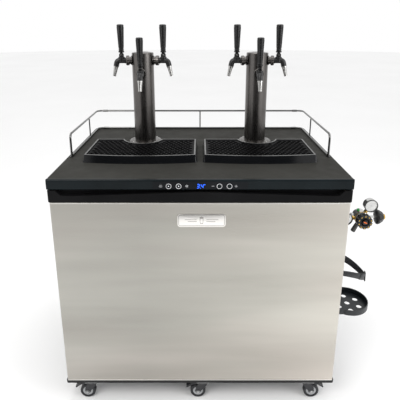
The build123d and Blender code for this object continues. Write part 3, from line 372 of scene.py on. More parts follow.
# a darker, nearly unreflective copy of the tray's black for the inside of the tray: painted shade in the recess
M["tray_well_painted_shade"] = moulded("tray_well_painted_shade", (0.0028, 0.0028, 0.0030), (0.5, 0.65), 900, 0.12, 0.0001, 0.03)
M["window"] = gloss_black("window_black", (0.0070, 0.0082, 0.0096), 0.11, (0.16, 0.26))
M["paint"] = moulded("cabinet_paint", (0.020, 0.020, 0.021), (0.32, 0.42), 700, 0.25, 0.0002, 0.4)
M["bracket"] = moulded("bracket_paint", (0.011, 0.014, 0.017), (0.34, 0.5), 800, 0.3, 0.0002, 0.5)
M["base"] = moulded("base_plastic", (0.007, 0.007, 0.0075), (0.4, 0.55), 900, 0.2, 0.0002, 0.35)
M["liner"] = moulded("liner_white", (0.74, 0.755, 0.76), (0.25, 0.38), 500, 0.06, 0.0002, 0.5, var=0.03)
M["gun"] = gunmetal()
M["chrome"] = chrome()
# the rail's chrome is a much darker copy of the chrome above: painted shade standing in for the darker surroundings it
# reflects
M["rail"] = chrome("rail_chrome", (0.17, 0.17, 0.168), (0.07, 0.16))
M["tap"] = moulded("tap_black", (0.0095, 0.0095, 0.010), (0.28, 0.4), 900, 0.15, 0.0001, 0.45)
M["handle"] = moulded("handle_black", (0.008, 0.008, 0.0085), (0.22, 0.34), 1200, 0.12, 0.0001, 0.45)
M["steel"] = metal("turned_steel", (0.52, 0.515, 0.50), (0.16, 0.28), (3, 3, 40), 30, 0.05)
M["zinc"] = metal("zinc", (0.46, 0.465, 0.47), (0.28, 0.42), (1, 1, 1), 60, 0.08, var=0.15, patch=30)
M["fins"] = metal("fins", (0.5, 0.51, 0.52), (0.3, 0.4), (1, 1, 20), 40, 0.06)
M["brass"] = metal("brass", (0.62, 0.40, 0.10), (0.18, 0.3), (3, 3, 3), 40, 0.05)
M["enamel"] = moulded("compressor_enamel", (0.010, 0.010, 0.011), (0.14, 0.25), 120, 0.1, 0.0006, 0.5)
M["rubber"] = moulded("seal_rubber", (0.032, 0.032, 0.033), (0.6, 0.75), 600, 0.2, 0.0002, 0.3)
M["tyre"] = moulded("wheel_tread", (0.016, 0.017, 0.020), (0.35, 0.5), 500, 0.25, 0.0002, 0.45)
M["hub"] = moulded("wheel_ring", (0.36, 0.37, 0.38), (0.3, 0.4), 600, 0.1, 0.0002, 0.5, var=0.1)
M["caster"] = moulded("caster_black", (0.010, 0.011, 0.014), (0.2, 0.34), 300, 0.12, 0.0002, 0.55)
M["web"] = webbing()
M["foam"] = foam_mat()
M["dial"] = dial()
M["blue"] = glow("display_blue", (0.02, 0.13, 1.0), 2.2)
M["white_led"] = glow("led_white", (0.9, 0.93, 1.0), 1.6)
M["lens"] = lens()
M["mark"] = moulded("print_grey", (0.42, 0.43, 0.44), (0.4, 0.5), 900, 0.05, 0.0001, 0.4, var=0.08)
M["mark_light"] = moulded("print_light", (0.74, 0.75, 0.76), (0.4, 0.5), 900, 0.05, 0.0001, 0.4, var=0.06)
M["mark_dark"] = moulded("print_dark", (0.02, 0.02, 0.022), (0.4, 0.5), 900, 0.05, 0.0001, 0.4)
M["bezel"] = metal("gauge_bezel", (0.10, 0.10, 0.10), (0.2, 0.3), (1, 1, 1), 60, 0.03)
M["grey"] = moulded("tail_grey", (0.075, 0.075, 0.072), (0.35, 0.5), 600, 0.15, 0.0002, 0.45)
M["green"] = moulded("cap_green", (0.02, 0.30, 0.06), (0.3, 0.4), 600, 0.12, 0.0002, 0.5)
M["red"] = moulded("print_red", (0.62, 0.045, 0.03), (0.4, 0.5), 900, 0.05, 0.0001, 0.4, var=0.1)
M["orange"] = moulded("print_orange", (0.80, 0.15, 0.02), (0.4, 0.5), 900, 0.05, 0.0001, 0.4, var=0.1)
M["yellow"] = moulded("collar_yellow", (0.88, 0.36, 0.012), (0.28, 0.38), 700, 0.12, 0.0002, 0.5, var=0.12)
M["grille"] = moulded("grille_black", (0.0036, 0.0036, 0.0040), (0.40, 0.52), 900, 0.15, 0.0001, 0.03)
M["plate"] = metal("name_plate", (0.93, 0.91, 0.88), (0.30, 0.42), (0.3, 1, 30), 60, 0.05, var=0.03)
M["plate_line"] = moulded("plate_line", (0.27, 0.26, 0.245), (0.4, 0.5), 900, 0.05, 0.0001, 0.4, var=0.06)


# ------------------------------------------------------------------ mesh makers
def finish_mesh(name, bm, mat, body, angle=32):
    me = bpy.data.meshes.new(name)
    bmesh.ops.recalc_face_normals(bm, faces=bm.faces)
    bm.to_mesh(me)
    bm.free()
    for p in me.polygons:
        p.use_smooth = True
    me.set_sharp_from_angle(angle=math.radians(angle))
    me.materials.append(mat)
    ob = bpy.data.objects.new(name, me)
    scene.collection.objects.link(ob)
    if body:
        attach(ob, body)
    return ob


def basis(axis, hint=None):
    w = Vector(axis).normalized()
    h = Vector(hint) if hint else (Vector((0, 0, 1)) if abs(w.z) < 0.9 else Vector((1, 0, 0)))
    u = (h - w * h.dot(w)).normalized()
    return u, w.cross(u), w


def lathe_bm(bm, profile, origin, axis, seg=56, hint=None):
    """Adds a turned shape: profile is [(radius, height along axis)]."""
    u, v, w = basis(axis, hint)
    o = Vector(origin)
    rings = []
    for r, h in profile:
        if r < 1e-7:
            rings.append([bm.verts.new(o + w * h)])
        else:
            rings.append([bm.verts.new(o + w * h + (u * math.cos(2 * math.pi * k / seg) + v * math.sin(2 * math.pi * k / seg)) * r)
                          for k in range(seg)])
    for a, b in zip(rings, rings[1:]):
        for k in range(seg):
            k2 = (k + 1) % seg
            if len(a) == 1 and len(b) == 1:
                continue
            if len(a) == 1:
                bm.faces.new((a[0], b[k], b[k2]))
            elif len(b) == 1:
                bm.faces.new((a[k], a[k2], b[0]))
            else:
                bm.faces.new((a[k], a[k2], b[k2], b[k]))
    if len(rings[0]) > 1 and profile[0] != profile[-1]:
        bm.faces.new(rings[0])
    if len(rings[-1]) > 1 and profile[0] != profile[-1]:
        bm.faces.new(rings[-1])
    if profile[0] == profile[-1] and len(rings[0]) > 1:
        bmesh.ops.remove_doubles(bm, verts=rings[0] + rings[-1], dist=1e-7)


def lathe(name, profile, origin, axis, mat, body, seg=56, angle=32):
    bm = bmesh.new()
    lathe_bm(bm, profile, origin, axis, seg)
    return finish_mesh(name, bm, mat, body, angle)


def prism_bm(bm, outline, origin, u, v, depth, bevel=0.0, seg=2):
    """Adds a closed 2-D outline pushed along u x v by depth, with the edges of its pushed face rounded when bevel is
    given.
    """
    u, v = Vector(u), Vector(v)
    w = u.cross(v).normalized()
    o = Vector(origin)
    lo = [bm.verts.new(o + u * a + v * b) for a, b in outline]
    hi = [bm.verts.new(o + u * a + v * b + w * depth) for a, b in outline]
    n = len(outline)
    f1 = bm.faces.new(lo[::-1])
    f2 = bm.faces.new(hi)
    for k in range(n):
        bm.faces.new((lo[k], lo[(k + 1) % n], hi[(k + 1) % n], hi[k]))
    if bevel > 0:
        edges = list(f2.edges)
        bmesh.ops.bevel(bm, geom=edges, offset=bevel, segments=seg, profile=0.5, affect="EDGES")


def prism(name, outline, origin, u, v, depth, mat, body, bevel=0.0, slot=None, angle=32, seg=2):
    bm = bmesh.new()
    prism_bm(bm, outline, origin, u, v, depth, bevel, seg)
    return finish_mesh(name, bm, mat, body, angle)


def round_rect(w, h, r, n=7, cx=0.0, cy=0.0):
    pts = []
    for sx, sy, a0 in ((1, 1, 0), (-1, 1, 90), (-1, -1, 180), (1, -1, 270)):
        for k in range(n + 1):
            a = math.radians(a0 + 90 * k / n)
            pts.append((cx + sx * (w / 2 - r) + r * math.cos(a), cy + sy * (h / 2 - r) + r * math.sin(a)))
    return pts


def ring_bm(bm, outer, inner, origin, u, v, depth):
    """A frame between two outlines with the same number of points."""
    u, v = Vector(u), Vector(v)
    w = u.cross(v).normalized()
    o = Vector(origin)
    L = [[bm.verts.new(o + u * a + v * b + w * d) for a, b in line] for line, d in ((outer, 0), (outer, depth), (inner, depth), (inner, 0))]
    n = len(outer)
    for q in range(4):
        a, b = L[q], L[(q + 1) % 4]
        for k in range(n):
            bm.faces.new((a[k], a[(k + 1) % n], b[(k + 1) % n], b[k]))


def box_bm(bm, center, size, bevel=0.0, rot=None, seg=2):
    m = Matrix.Translation(Vector(center)) @ (rot.to_4x4() if rot else Matrix.Identity(4)) @ Matrix.Diagonal((*size, 1))
    r = bmesh.ops.create_cube(bm, size=1.0, matrix=m)
    if bevel > 0:
        edges = list({e for vv in r["verts"] for e in vv.link_edges})
        bmesh.ops.bevel(bm, geom=edges, offset=bevel, segments=seg, profile=0.5, affect="EDGES")


def tube(name, pts, radius, mat, body, order=4, res=10, slot=None, bev=6):
    cu = bpy.data.curves.new(name, "CURVE")
    cu.dimensions = "3D"
    sp = cu.splines.new("NURBS")
    sp.points.add(len(pts) - 1)
    for p, q in zip(sp.points, pts):
        p.co = (*q, 1)
    sp.order_u = order
    sp.use_endpoint_u = True
    cu.resolution_u = res
    cu.bevel_depth = radius
    cu.bevel_resolution = bev
    cu.use_fill_caps = True
    tmp = bpy.data.objects.new(name + "_c", cu)
    scene.collection.objects.link(tmp)
    bpy.context.view_layer.update()
    me = bpy.data.meshes.new_from_object(tmp)
    bpy.data.objects.remove(tmp)
    bm = bmesh.new()
    bm.from_mesh(me)
    bpy.data.meshes.remove(me)
    bmesh.ops.remove_doubles(bm, verts=bm.verts, dist=1e-7)
    return finish_mesh(name, bm, mat, body, 40)


X, Y, Z = Vector((1, 0, 0)), Vector((0, 1, 0)), Vector((0, 0, 1))

# ------------------------------------------------------------------ CAD nodes keep their shape and get these finishes
node_mat = {
    "base_plate": "base", "cabinet_shell": "paint", "cabinet_foam": "foam", "inner_liner": "liner", "rear_cover": "paint",
    "compressor": "enamel", "condenser_coil": "fins", "evaporator_housing": "liner", "fan_rotor": "tap", "top_deck": "deck",
    "control_fascia": "gloss", "display_window": "window", "guard_rail_tubes": "rail", "rail_fittings": "rail",
    "tower_column_left": "gun", "tower_column_right": "gun", "tower_flanges": "gun", "tower_caps": "gun", "shanks": "gun",
    "faucet_bodies": "tap", "tap_pins": "steel", "faucet_spouts": "steel", "drip_tray_left": "tray", "drip_tray_right": "tray",
    "drip_grille_left": "grille", "drip_grille_right": "grille", "door_skin": "door", "door_foam": "foam", "door_trim": "trim",
    "door_liner": "liner", "door_gasket": "rubber", "door_badge": "plate", "cabinet_hinges": "zinc", "caster_plates": "zinc",
    "rear_caster_frames": "caster", "bottle_bracket": "bracket", "bracket_strap": "web", "regulator_body": "chrome",
    "regulator_gauges": "chrome", "regulator_knob": "tap", "disconnect_rack": "steel", "disconnects": "tap",
}
for name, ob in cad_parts.items():
    key = node_mat.get(name)
    if key is None:
        key = ("gloss" if name.startswith("button_") else "handle" if name.startswith("tap_handle") else
               "caster" if name.startswith("caster_fork") else "tyre")
    if not ob.material_slots:
        ob.data.materials.append(M[key])
    for s in ob.material_slots:
        s.material = M[key]

# tray faces: a paler rim on the up-facing top faces, a painted highlight; a darker matt well, painted shade in the
# recess
for side in ("left", "right"):
    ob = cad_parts[f"drip_tray_{side}"]
    ob.data.materials.append(M["tray_rim_painted_highlight"])
    ob.data.materials.append(M["tray_well_painted_shade"])
    tlo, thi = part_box(f"drip_tray_{side}")
    for f in ob.data.polygons:
        c = f.center
        if f.normal.z > 0.9 and c.z > thi.z - 0.0006:
            f.material_index = len(ob.data.materials) - 2
        elif f.normal.z > 0.5 and c.z < thi.z - 0.002 or (thi.z - 0.026 < c.z < thi.z - 0.004 and abs(f.normal.z) < 0.05):
            f.material_index = len(ob.data.materials) - 1

# ------------------------------------------------------------------ door details
STEEL_TOP, STEEL_BOTTOM = 816.5, 98.5
bm = bmesh.new()
# lighter strips along the steel's top and bottom edges: painted highlight on the rolled hems
box_bm(bm, C(0, -353.35, STEEL_TOP - 2.2), (0.986, 0.0016, 0.0034), 0.0007)
box_bm(bm, C(0, -353.35, STEEL_BOTTOM + 2.2), (0.986, 0.0016, 0.0034), 0.0007)
finish_mesh("door_hems_painted_highlight", bm, metal("hem_steel_painted_highlight", (0.74, 0.73, 0.70), (0.25, 0.35), (0.4, 1, 30), 50, 0.03), "door")

bx, bz = 5.0, 897 - 144.0
bm = bmesh.new()
prism_bm(bm, round_rect(0.160, 0.046, 0.009, 8), C(bx, -353, bz), X, Z, 0.0014, 0.0005)
plate = finish_mesh("badge_plate", bm, M["plate"], "door")
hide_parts("door_badge")
bm = bmesh.new()
ring_bm(bm, round_rect(0.1535, 0.0395, 0.0062, 8), round_rect(0.1505, 0.0365, 0.0048, 8), C(bx, -354.4, bz), X, Z, 0.00025)
# plain pictogram: a glass with a foam head between two short rules
gw = [(-0.0062, 0.0085), (0.0062, 0.0085), (0.0048, -0.0115), (-0.0048, -0.0115)]
gi = [(-0.0047, 0.0069), (0.0047, 0.0069), (0.0037, -0.0099), (-0.0037, -0.0099)]
ring_bm(bm, gw, gi, C(bx, -354.4, bz), X, Z, 0.00025)
for dx, dz, rr in ((-4.2, 10.6, 2.5), (0, 11.6, 3.1), (4.2, 10.6, 2.5)):
    prism_bm(bm, [(rr / 1000 * math.cos(math.tau * k / 20), rr / 1000 * math.sin(math.tau * k / 20)) for k in range(20)],
             C(bx + dx, -354.4, bz + dz), X, Z, 0.00025)
for s in (-1, 1):
    for k, (ln, dz) in enumerate(((0.040, 3.4), (0.030, -3.4))):
        prism_bm(bm, round_rect(ln, 0.0016, 0.0007, 3), C(bx + s * (36 - k * 5), -354.4, bz + dz), X, Z, 0.00025)
finish_mesh("badge_print", bm, M["plate_line"], "door")

# bellows of the magnetic seal, set just inside the seal's own face
bm = bmesh.new()
for off, dep in ((0.0, 0.0), (0.0032, 0.0006), (0.0064, 0.0)):
    w, h = 0.944 - 2 * off - 0.004, 0.690 - 2 * off - 0.004
    ring_bm(bm, round_rect(w, h, 0.011 - off * 0.6, 6), round_rect(w - 0.0036, h - 0.0036, 0.0095 - off * 0.6, 6),
            C(0, -294.6 + dep * 1000, 484), X, -Z, 0.0014)
finish_mesh("gasket_ribs", bm, M["rubber"], "door")

# ------------------------------------------------------------------ control strip
BUT = {"button_light": -102.0, "button_set": -69.5, "button_down": 63.0, "button_up": 95.5}
bzz = 875.0
for b, x in BUT.items():
    bm = bmesh.new()
    lathe_bm(bm, [(0.0076, 0), (0.0088, 0), (0.0088, 0.0004), (0.0086, 0.0005), (0.0078, 0.0005), (0.0076, 0.0004), (0.0076, 0)],
             C(x, -354.9, bzz), -Y, 48)
    finish_mesh(b + "_ring", bm, M["mark_light"], b)
    if b in ("button_light", "button_set"):
        lathe(b + "_dot", [(0, 0.0006), (0.0008, 0.0005), (0.0012, 0), (0.0012, -0.0002)], C(x, -354.6, bzz), -Y, M["white_led"], b, 24)

# plain pictograms beside the buttons, in place of words
bm = bmesh.new()
fy = -353.82
def bar(cx, cz, ln, th, ang):
    a = math.radians(ang)
    u = Vector((math.cos(a), 0, math.sin(a)))
    v = Vector((-math.sin(a), 0, math.cos(a)))
    prism_bm(bm, round_rect(ln / 1000, th / 1000, th / 2200, 2), C(cx, fy, cz), u, v, 0.00018)
# lamp
ring_bm(bm, [(0.0026 * math.cos(math.tau * k / 20), 0.0026 * math.sin(math.tau * k / 20)) for k in range(20)],
        [(0.0017 * math.cos(math.tau * k / 20), 0.0017 * math.sin(math.tau * k / 20)) for k in range(20)], C(-128, fy, bzz), X, Z, 0.00018)
for k in range(8):
    a = math.tau * k / 8
    bar(-128 + 4.6 * math.cos(a), bzz + 4.6 * math.sin(a), 2.0, 0.9, math.degrees(a))
# snow star
for k in range(3):
    bar(-43, bzz, 10.5, 0.95, 60 * k + 30)
for k in range(6):
    a = math.radians(60 * k + 30)
    for s in (-1, 1):
        bar(-43 + 3.6 * math.cos(a) + s * 0.9 * math.sin(a), bzz + 3.6 * math.sin(a) - s * 0.9 * math.cos(a), 2.2, 0.75, 60 * k + 30 + s * 45)
# minus and plus
bar(42, bzz, 9.0, 1.3, 0)
bar(117, bzz, 9.0, 1.3, 0)
bar(117, bzz, 9.0, 1.3, 90)
finish_mesh("panel_marks", bm, M["mark"], "cabinet")

# numeric display, two lit digits and a point
seg7 = {"3": "abgcd", "5": "afgcd", "4": "fgbc", "0": "abcdef"}
bm = bmesh.new()
def digit(ch, cx, w=7.2, h=13.5, th=1.7):
    lay = {"a": (0, h / 2, w - 2.2, th, 0), "g": (0, 0, w - 2.2, th, 0), "d": (0, -h / 2, w - 2.2, th, 0),
           "f": (-w / 2, h / 4, h / 2 - 1.6, th, 90), "b": (w / 2, h / 4, h / 2 - 1.6, th, 90),
           "e": (-w / 2, -h / 4, h / 2 - 1.6, th, 90), "c": (w / 2, -h / 4, h / 2 - 1.6, th, 90)}
    for s in seg7[ch]:
        dx, dz, ln, t, ang = lay[s]
        bar(cx + dx + dz * 0.10, bzz + dz, ln, t, ang)
digit("3", -6.5)
digit("4", 6.5)
prism_bm(bm, round_rect(0.002, 0.002, 0.0008, 3), C(1.2, fy, bzz - 6.8), X, Z, 0.00018)
ring_bm(bm, [(0.0019 * math.cos(math.tau * k / 16), 0.0019 * math.sin(math.tau * k / 16)) for k in range(16)],
        [(0.0010 * math.cos(math.tau * k / 16), 0.0010 * math.sin(math.tau * k / 16)) for k in range(16)], C(15.2, fy, bzz + 5.2), X, Z, 0.00018)
finish_mesh("display_digits", bm, M["blue"], "cabinet")
# smoked recess behind the digits
bm = bmesh.new()
ring_bm(bm, round_rect(0.044, 0.0205, 0.003, 6), round_rect(0.0425, 0.019, 0.0024, 6), C(2, fy, bzz), X, Z, 0.00012)
finish_mesh("display_frame", bm, M["gloss"], "cabinet")

# ------------------------------------------------------------------ towers: flange screws, tap hardware
TX, TY = 233.0, 121.0
bm = bmesh.new()
for s in (-1, 1):
    for b in (45, 135, 225, 315):
        a = math.radians(b)
        p = C(s * TX + 61 * math.cos(a), TY + 61 * math.sin(a), 903.4)
        lathe_bm(bm, [(0.0041, 0), (0.0042, 0.0009), (0.0034, 0.0021), (0.0019, 0.0026), (0.0019, 0.0011), (0, 0.0011)], p, Z, 24)
finish_mesh("flange_screws", bm, M["steel"], "cabinet")

TAPS = []
for side, s in (("left", -1), ("right", 1)):
    for tap, da, h in (("left", -84.0, 340.0), ("middle", 0.0, 292.0), ("right", 84.0, 340.0)):
        TAPS.append((f"{side}_{tap}", s * TX, math.radians(-90 + da), 897 + h))

bm = bmesh.new()      # wrench notches round each coupling nut
bm2 = bmesh.new()     # bonnet rings and pin heads
for name, tx, a, z in TAPS:
    u = Vector((math.cos(a), math.sin(a), 0))
    o = C(tx, TY, z)
    side = Z.cross(u)
    for k in range(10):
        b = math.tau * k / 10
        r = side * math.cos(b) + Z * math.sin(b)
        t = u.cross(r)
        rot = Matrix((t, r, u)).transposed()
        box_bm(bm, o + u * 0.0605 + r * 0.0192, (0.0042, 0.0016, 0.0085), 0.0005, rot)
    lathe_bm(bm2, [(0.0124, 0), (0.0136, 0.0004), (0.0139, 0.0022), (0.0136, 0.0042), (0.0124, 0.0046)], o + u * 0.085 + Z * 0.0085, Z, 40)
    lathe_bm(bm2, [(0.0112, 0), (0.0122, 0.0005), (0.0122, 0.0030), (0.0112, 0.0035)], o + u * 0.0690, u, 40)
finish_mesh("nut_lugs", bm, M["gun"], "cabinet")
finish_mesh("faucet_rings", bm2, M["tap"], "cabinet")
bm = bmesh.new()
for name, tx, a, z in TAPS:
    u = Vector((math.cos(a), math.sin(a), 0))
    side = Z.cross(u)
    o = C(tx, TY, z) + u * 0.085 + Z * 0.022
    for s in (-1, 1):
        lathe_bm(bm, [(0.0034, 0), (0.0035, 0.0006), (0.0027, 0.0014), (0, 0.0016)], o + side * s * 0.0069, side * s, 20)
finish_mesh("pin_heads", bm, M["steel"], "cabinet")

# collars of the levers
for name, tx, a, z in TAPS:
    u = Vector((math.cos(a), math.sin(a), 0))
    o = C(tx, TY, z) + u * 0.085
    bm = bmesh.new()
    for h, r in ((0.0336, 0.0112), (0.0358, 0.0112), (0.0414, 0.0106)):
        lathe_bm(bm, [(r, 0), (r + 0.0006, 0.0003), (r + 0.0006, 0.0009), (r, 0.0012)], o + Z * h, Z, 36)
    # lengthwise ribs of the handle
    for k in range(16):
        a2 = math.tau * k / 16
        d = X * math.cos(a2) + Y * math.sin(a2)
        t = Z.cross(d)
        lo, hi = o + Z * 0.0510, o + Z * 0.1310
        vs = []
        for base, r in ((lo, 0.01018), (hi, 0.01370)):
            for dr, dt in ((-0.0002, -0.00105), (0.00055, -0.0005), (0.00055, 0.0005), (-0.0002, 0.00105)):
                vs.append(bm.verts.new(base + d * (r + dr) + t * dt))
        for q in range(4):
            bm.faces.new((vs[q], vs[(q + 1) % 4], vs[4 + (q + 1) % 4], vs[4 + q]))
        bm.faces.new(vs[:4])
        bm.faces.new(vs[4:])
    finish_mesh(f"lever_collar_{name}", bm, M["handle"], f"tap_{name}")

# ------------------------------------------------------------------ casters: rings, hub caps, bolts
CAST = {"front_left": (-407.0, -324.0, -1), "front_middle": (14.0, -324.0, -1), "front_right": (403.0, -324.0, 1)}
for c, (x, y, d) in CAST.items():
    o = C(x + d * 22, y, 29)
    for s in (-1, 1):
        lathe(f"wheel_ring_{c}_{'a' if s < 0 else 'b'}", [(0.0115, 0), (0.0185, 0), (0.0192, 0.0006), (0.0185, 0.0016), (0.0118, 0.0016), (0.0108, 0.0008), (0.0115, 0)],
              o + Y * s * 0.0072, Y * s, M["hub"], f"wheel_{c}", 40)
    bm = bmesh.new()
    for s in (-1, 1):
        lathe_bm(bm, [(0.0062, 0), (0.0062, 0.0024), (0.0052, 0.0034), (0.0018, 0.0036), (0, 0.0036)], o + Y * s * 0.0146, Y * s, 6)
        lathe_bm(bm, [(0.0078, 0), (0.0078, 0.0007), (0.0074, 0.0010), (0, 0.0010)], o + Y * s * 0.0144, Y * s, 28)
    # pedal grip bars
    for k in range(3):
        box_bm(bm, C(x + d * (50 + 5.5 * k), y, 66.9 - 4.1 * k), (0.0016, 0.025, 0.0016), 0.0005)
    finish_mesh(f"fork_bolts_{c}", bm, M["zinc"], f"caster_{c}")
for c, x in (("rear_left", -405.0), ("rear_right", 405.0)):
    o = C(x, 296, 29)
    for s in (-1, 1):
        lathe(f"wheel_ring_{c}_{'a' if s < 0 else 'b'}", [(0.0115, 0), (0.0185, 0), (0.0192, 0.0006), (0.0185, 0.0016), (0.0118, 0.0016), (0.0108, 0.0008), (0.0115, 0)],
              o + X * s * 0.0072, X * s, M["hub"], f"wheel_{c}", 40)
bm = bmesh.new()
for x, y, w, h in [(v[0], v[1], 44, 40) for v in CAST.values()] + [(-405, 296, 40, 58), (405, 296, 40, 58)]:
    for sx in (-1, 1):
        for sy in (-1, 1):
            lathe_bm(bm, [(0.0045, 0), (0.0045, 0.0025), (0.0038, 0.0033), (0, 0.0033)], C(x + sx * w / 2, y + sy * h / 2, 82), -Z, 6)
finish_mesh("caster_bolts", bm, M["zinc"], "cabinet")

# ------------------------------------------------------------------ regulator: dials, lenses, knob face
RX, RY, RZ = 588.0, -213.0, 700.0
for ga, gname, needle in ((183.0, "left", 205.0), (59.0, "upper", 188.0)):
    gx = RX + 57 * math.cos(math.radians(ga))
    gz = RZ + 57 * math.sin(math.radians(ga))
    o = C(gx, RY - 12.2, gz)
    lathe(f"gauge_card_{gname}", [(0, 0.0004), (0.0218, 0.0004), (0.0219, 0), (0.0219, -0.0006)], o, -Y, M["dial"], "cabinet", 56)
    bm = bmesh.new()
    br = bmesh.new()
    for k in range(31):
        a = math.radians(225 - 9 * k)
        r = X * math.cos(a) + Z * math.sin(a)
        t = X * -math.sin(a) + Z * math.cos(a)
        major = k % 5 == 0
        ln = 0.0044 if major else 0.0026
        rot = Matrix((r, -Y, t)).transposed()
        box_bm(bm if k % 5 == 0 and k < 22 else br, o + r * (0.0196 - ln / 2) - Y * 0.00055, (ln, 0.0002, 0.0009 if major else 0.0006), 0, rot)
    # inner red arc scale
    for k in range(25):
        a = math.radians(215 - 10 * k)
        r = X * math.cos(a) + Z * math.sin(a)
        t = X * -math.sin(a) + Z * math.cos(a)
        rot = Matrix((r, -Y, t)).transposed()
        box_bm(br, o + r * 0.0125 - Y * 0.00055, (0.0026, 0.0002, 0.0007), 0, rot)
    finish_mesh(f"gauge_ticks_{gname}", bm, M["mark_dark"], "cabinet")
    prism_bm(br, round_rect(0.0095, 0.0042, 0.0006, 2), o - Y * 0.00045 - Z * 0.0090, X, Z, 0.0002)
    finish_mesh(f"gauge_red_{gname}", br, M["red"], "cabinet")
    a = math.radians(needle)
    r = X * math.cos(a) + Z * math.sin(a)
    t = X * -math.sin(a) + Z * math.cos(a)
    bm = bmesh.new()
    prism_bm(bm, [(-0.008, -0.0013), (0.004, -0.0009), (0.0172, -0.0003), (0.0172, 0.0003), (0.004, 0.0009), (-0.008, 0.0013)], o - Y * 0.0012, r, t, 0.0003)
    lathe_bm(bm, [(0.0019, 0), (0.0019, 0.0010), (0.0012, 0.0014), (0, 0.0015)], o - Y * 0.0008, -Y, 20)
    finish_mesh(f"gauge_needle_{gname}", bm, M["mark_dark"], "cabinet")
    lathe(f"gauge_lens_{gname}", [(0, 0.0048), (0.012, 0.0044), (0.0212, 0.0034), (0.0216, 0.0030), (0.0212, 0.0026), (0.012, 0.0036), (0, 0.0040)],
          o, -Y, M["lens"], "cabinet", 56)
    lathe(f"gauge_bezel_{gname}", [(0.0214, 0.0020), (0.0242, 0.0020), (0.0246, 0.0034), (0.0240, 0.0052), (0.0226, 0.0058), (0.0214, 0.0050), (0.0214, 0.0020)],
          o, -Y, M["bezel"], "cabinet", 64)
    g = math.radians(ga)
    d = X * math.cos(g) + Z * math.sin(g)
    bm = bmesh.new()
    lathe_bm(bm, [(0.0074, 0), (0.0080, 0.0006), (0.0080, 0.0064), (0.0074, 0.0070)], C(RX, RY - 6, RZ) + d * 0.0256, d, 6)
    finish_mesh(f"gauge_nut_{gname}", bm, M["brass"], "cabinet", angle=20)

KY = RY - 48.4     # front face of the knob
bm = bmesh.new()
lathe_bm(bm, [(0.0165, 0), (0.0175, 0.0008), (0.0172, 0.0018), (0.0150, 0.0022), (0.0142, 0.0012), (0.0142, 0)], C(RX, KY, RZ), -Y, 48)
lathe_bm(bm, [(0.0100, 0), (0.0098, 0.0012), (0.0085, 0.0018), (0, 0.0018)], C(RX, KY, RZ), -Y, 40)
finish_mesh("knob_face", bm, M["tap"], "regulator_knob")
bm = bmesh.new()
u = (X * math.cos(math.radians(-22)) + Z * math.sin(math.radians(-22)))
v = (X * math.sin(math.radians(22)) + Z * math.cos(math.radians(22)))
prism_bm(bm, round_rect(0.0125, 0.0042, 0.0012, 3), C(RX, KY - 1.7, RZ), u, v, 0.0004)
finish_mesh("knob_mark", bm, M["orange"], "regulator_knob")
bm = bmesh.new()
for k in range(10):
    a = math.tau * (k + 0.5) / 10
    r = X * math.cos(a) + Z * math.sin(a)
    t = X * -math.sin(a) + Z * math.cos(a)
    prism_bm(bm, round_rect(0.0028, 0.0052, 0.001, 3), C(RX, KY - 0.05, RZ) + r * 0.0222, r, t, 0.0004)
finish_mesh("knob_pips", bm, M["brass"], "regulator_knob")
# black hand wheel of the bottle nut, over the CAD nut, with grip flutes
RO = C(RX, RY, RZ)
bm = bmesh.new()
lathe_bm(bm, [(0.0062, 0.0553), (0.0222, 0.0553), (0.0264, 0.0573), (0.0275, 0.0598), (0.0274, 0.0620), (0.0249, 0.0650),
              (0.0205, 0.0722), (0.0154, 0.0804), (0.0093, 0.0814)], RO, X, 60)
for k in range(8):
    a = math.tau * k / 8
    r = Z * math.cos(a) + Y * math.sin(a)
    t = X.cross(r)
    rot = Matrix((r, t, X)).transposed() @ Matrix.Rotation(math.radians(-32), 3, "Y")
    box_bm(bm, RO + r * 0.0206 + X * 0.0712, (0.0035, 0.0050, 0.0175), 0.0014, rot, 3)
finish_mesh("bottle_nut_wheel", bm, M["tap"], "cabinet")
bm = bmesh.new()
lathe_bm(bm, [(0.0092, 0.0806), (0.0098, 0.0812), (0.0098, 0.0872), (0.0088, 0.0880), (0.0055, 0.0880), (0.0055, 0.0860), (0, 0.0860)], RO, X, 40)
finish_mesh("bottle_nut_thread", bm, M["brass"], "cabinet")
# ribbed sleeve of the shut-off tail, cap of the relief valve
g = math.radians(245)
d = X * math.cos(g) + Z * math.sin(g)
prof = [(0.0064, 0.0255), (0.0066, 0.0262)]
for k in range(6):
    h = 0.0275 + 0.0050 * k
    r0 = 0.0072 + 0.00022 * k
    prof += [(r0, h), (r0 + 0.0006, h + 0.0010), (r0 + 0.0006, h + 0.0028), (r0, h + 0.0038)]
prof += [(0.0084, 0.0590), (0.0078, 0.0606), (0.0046, 0.0608), (0.0046, 0.0590), (0, 0.0590)]
bm = bmesh.new()
lathe_bm(bm, prof, C(RX, RY - 6, RZ), d, 36)
finish_mesh("shut_off_sleeve", bm, M["grey"], "cabinet")
g = math.radians(114)
d = X * math.cos(g) + Z * math.sin(g)
bm = bmesh.new()
lathe_bm(bm, [(0.0040, 0.0300), (0.0050, 0.0302), (0.0052, 0.0310), (0.0052, 0.0360), (0.0044, 0.0370), (0, 0.0371)], C(RX, RY - 6, RZ), d, 28)
finish_mesh("relief_cap", bm, M["green"], "cabinet")
# bonnet ring between body and knob
bm = bmesh.new()
lathe_bm(bm, [(0.0240, 0), (0.0258, 0.0004), (0.0260, 0.0022), (0.0256, 0.0040), (0.0240, 0.0044), (0.0240, 0)], C(RX, RY - 12.5, RZ), -Y, 56)
finish_mesh("bonnet_ring", bm, M["brass"], "cabinet")

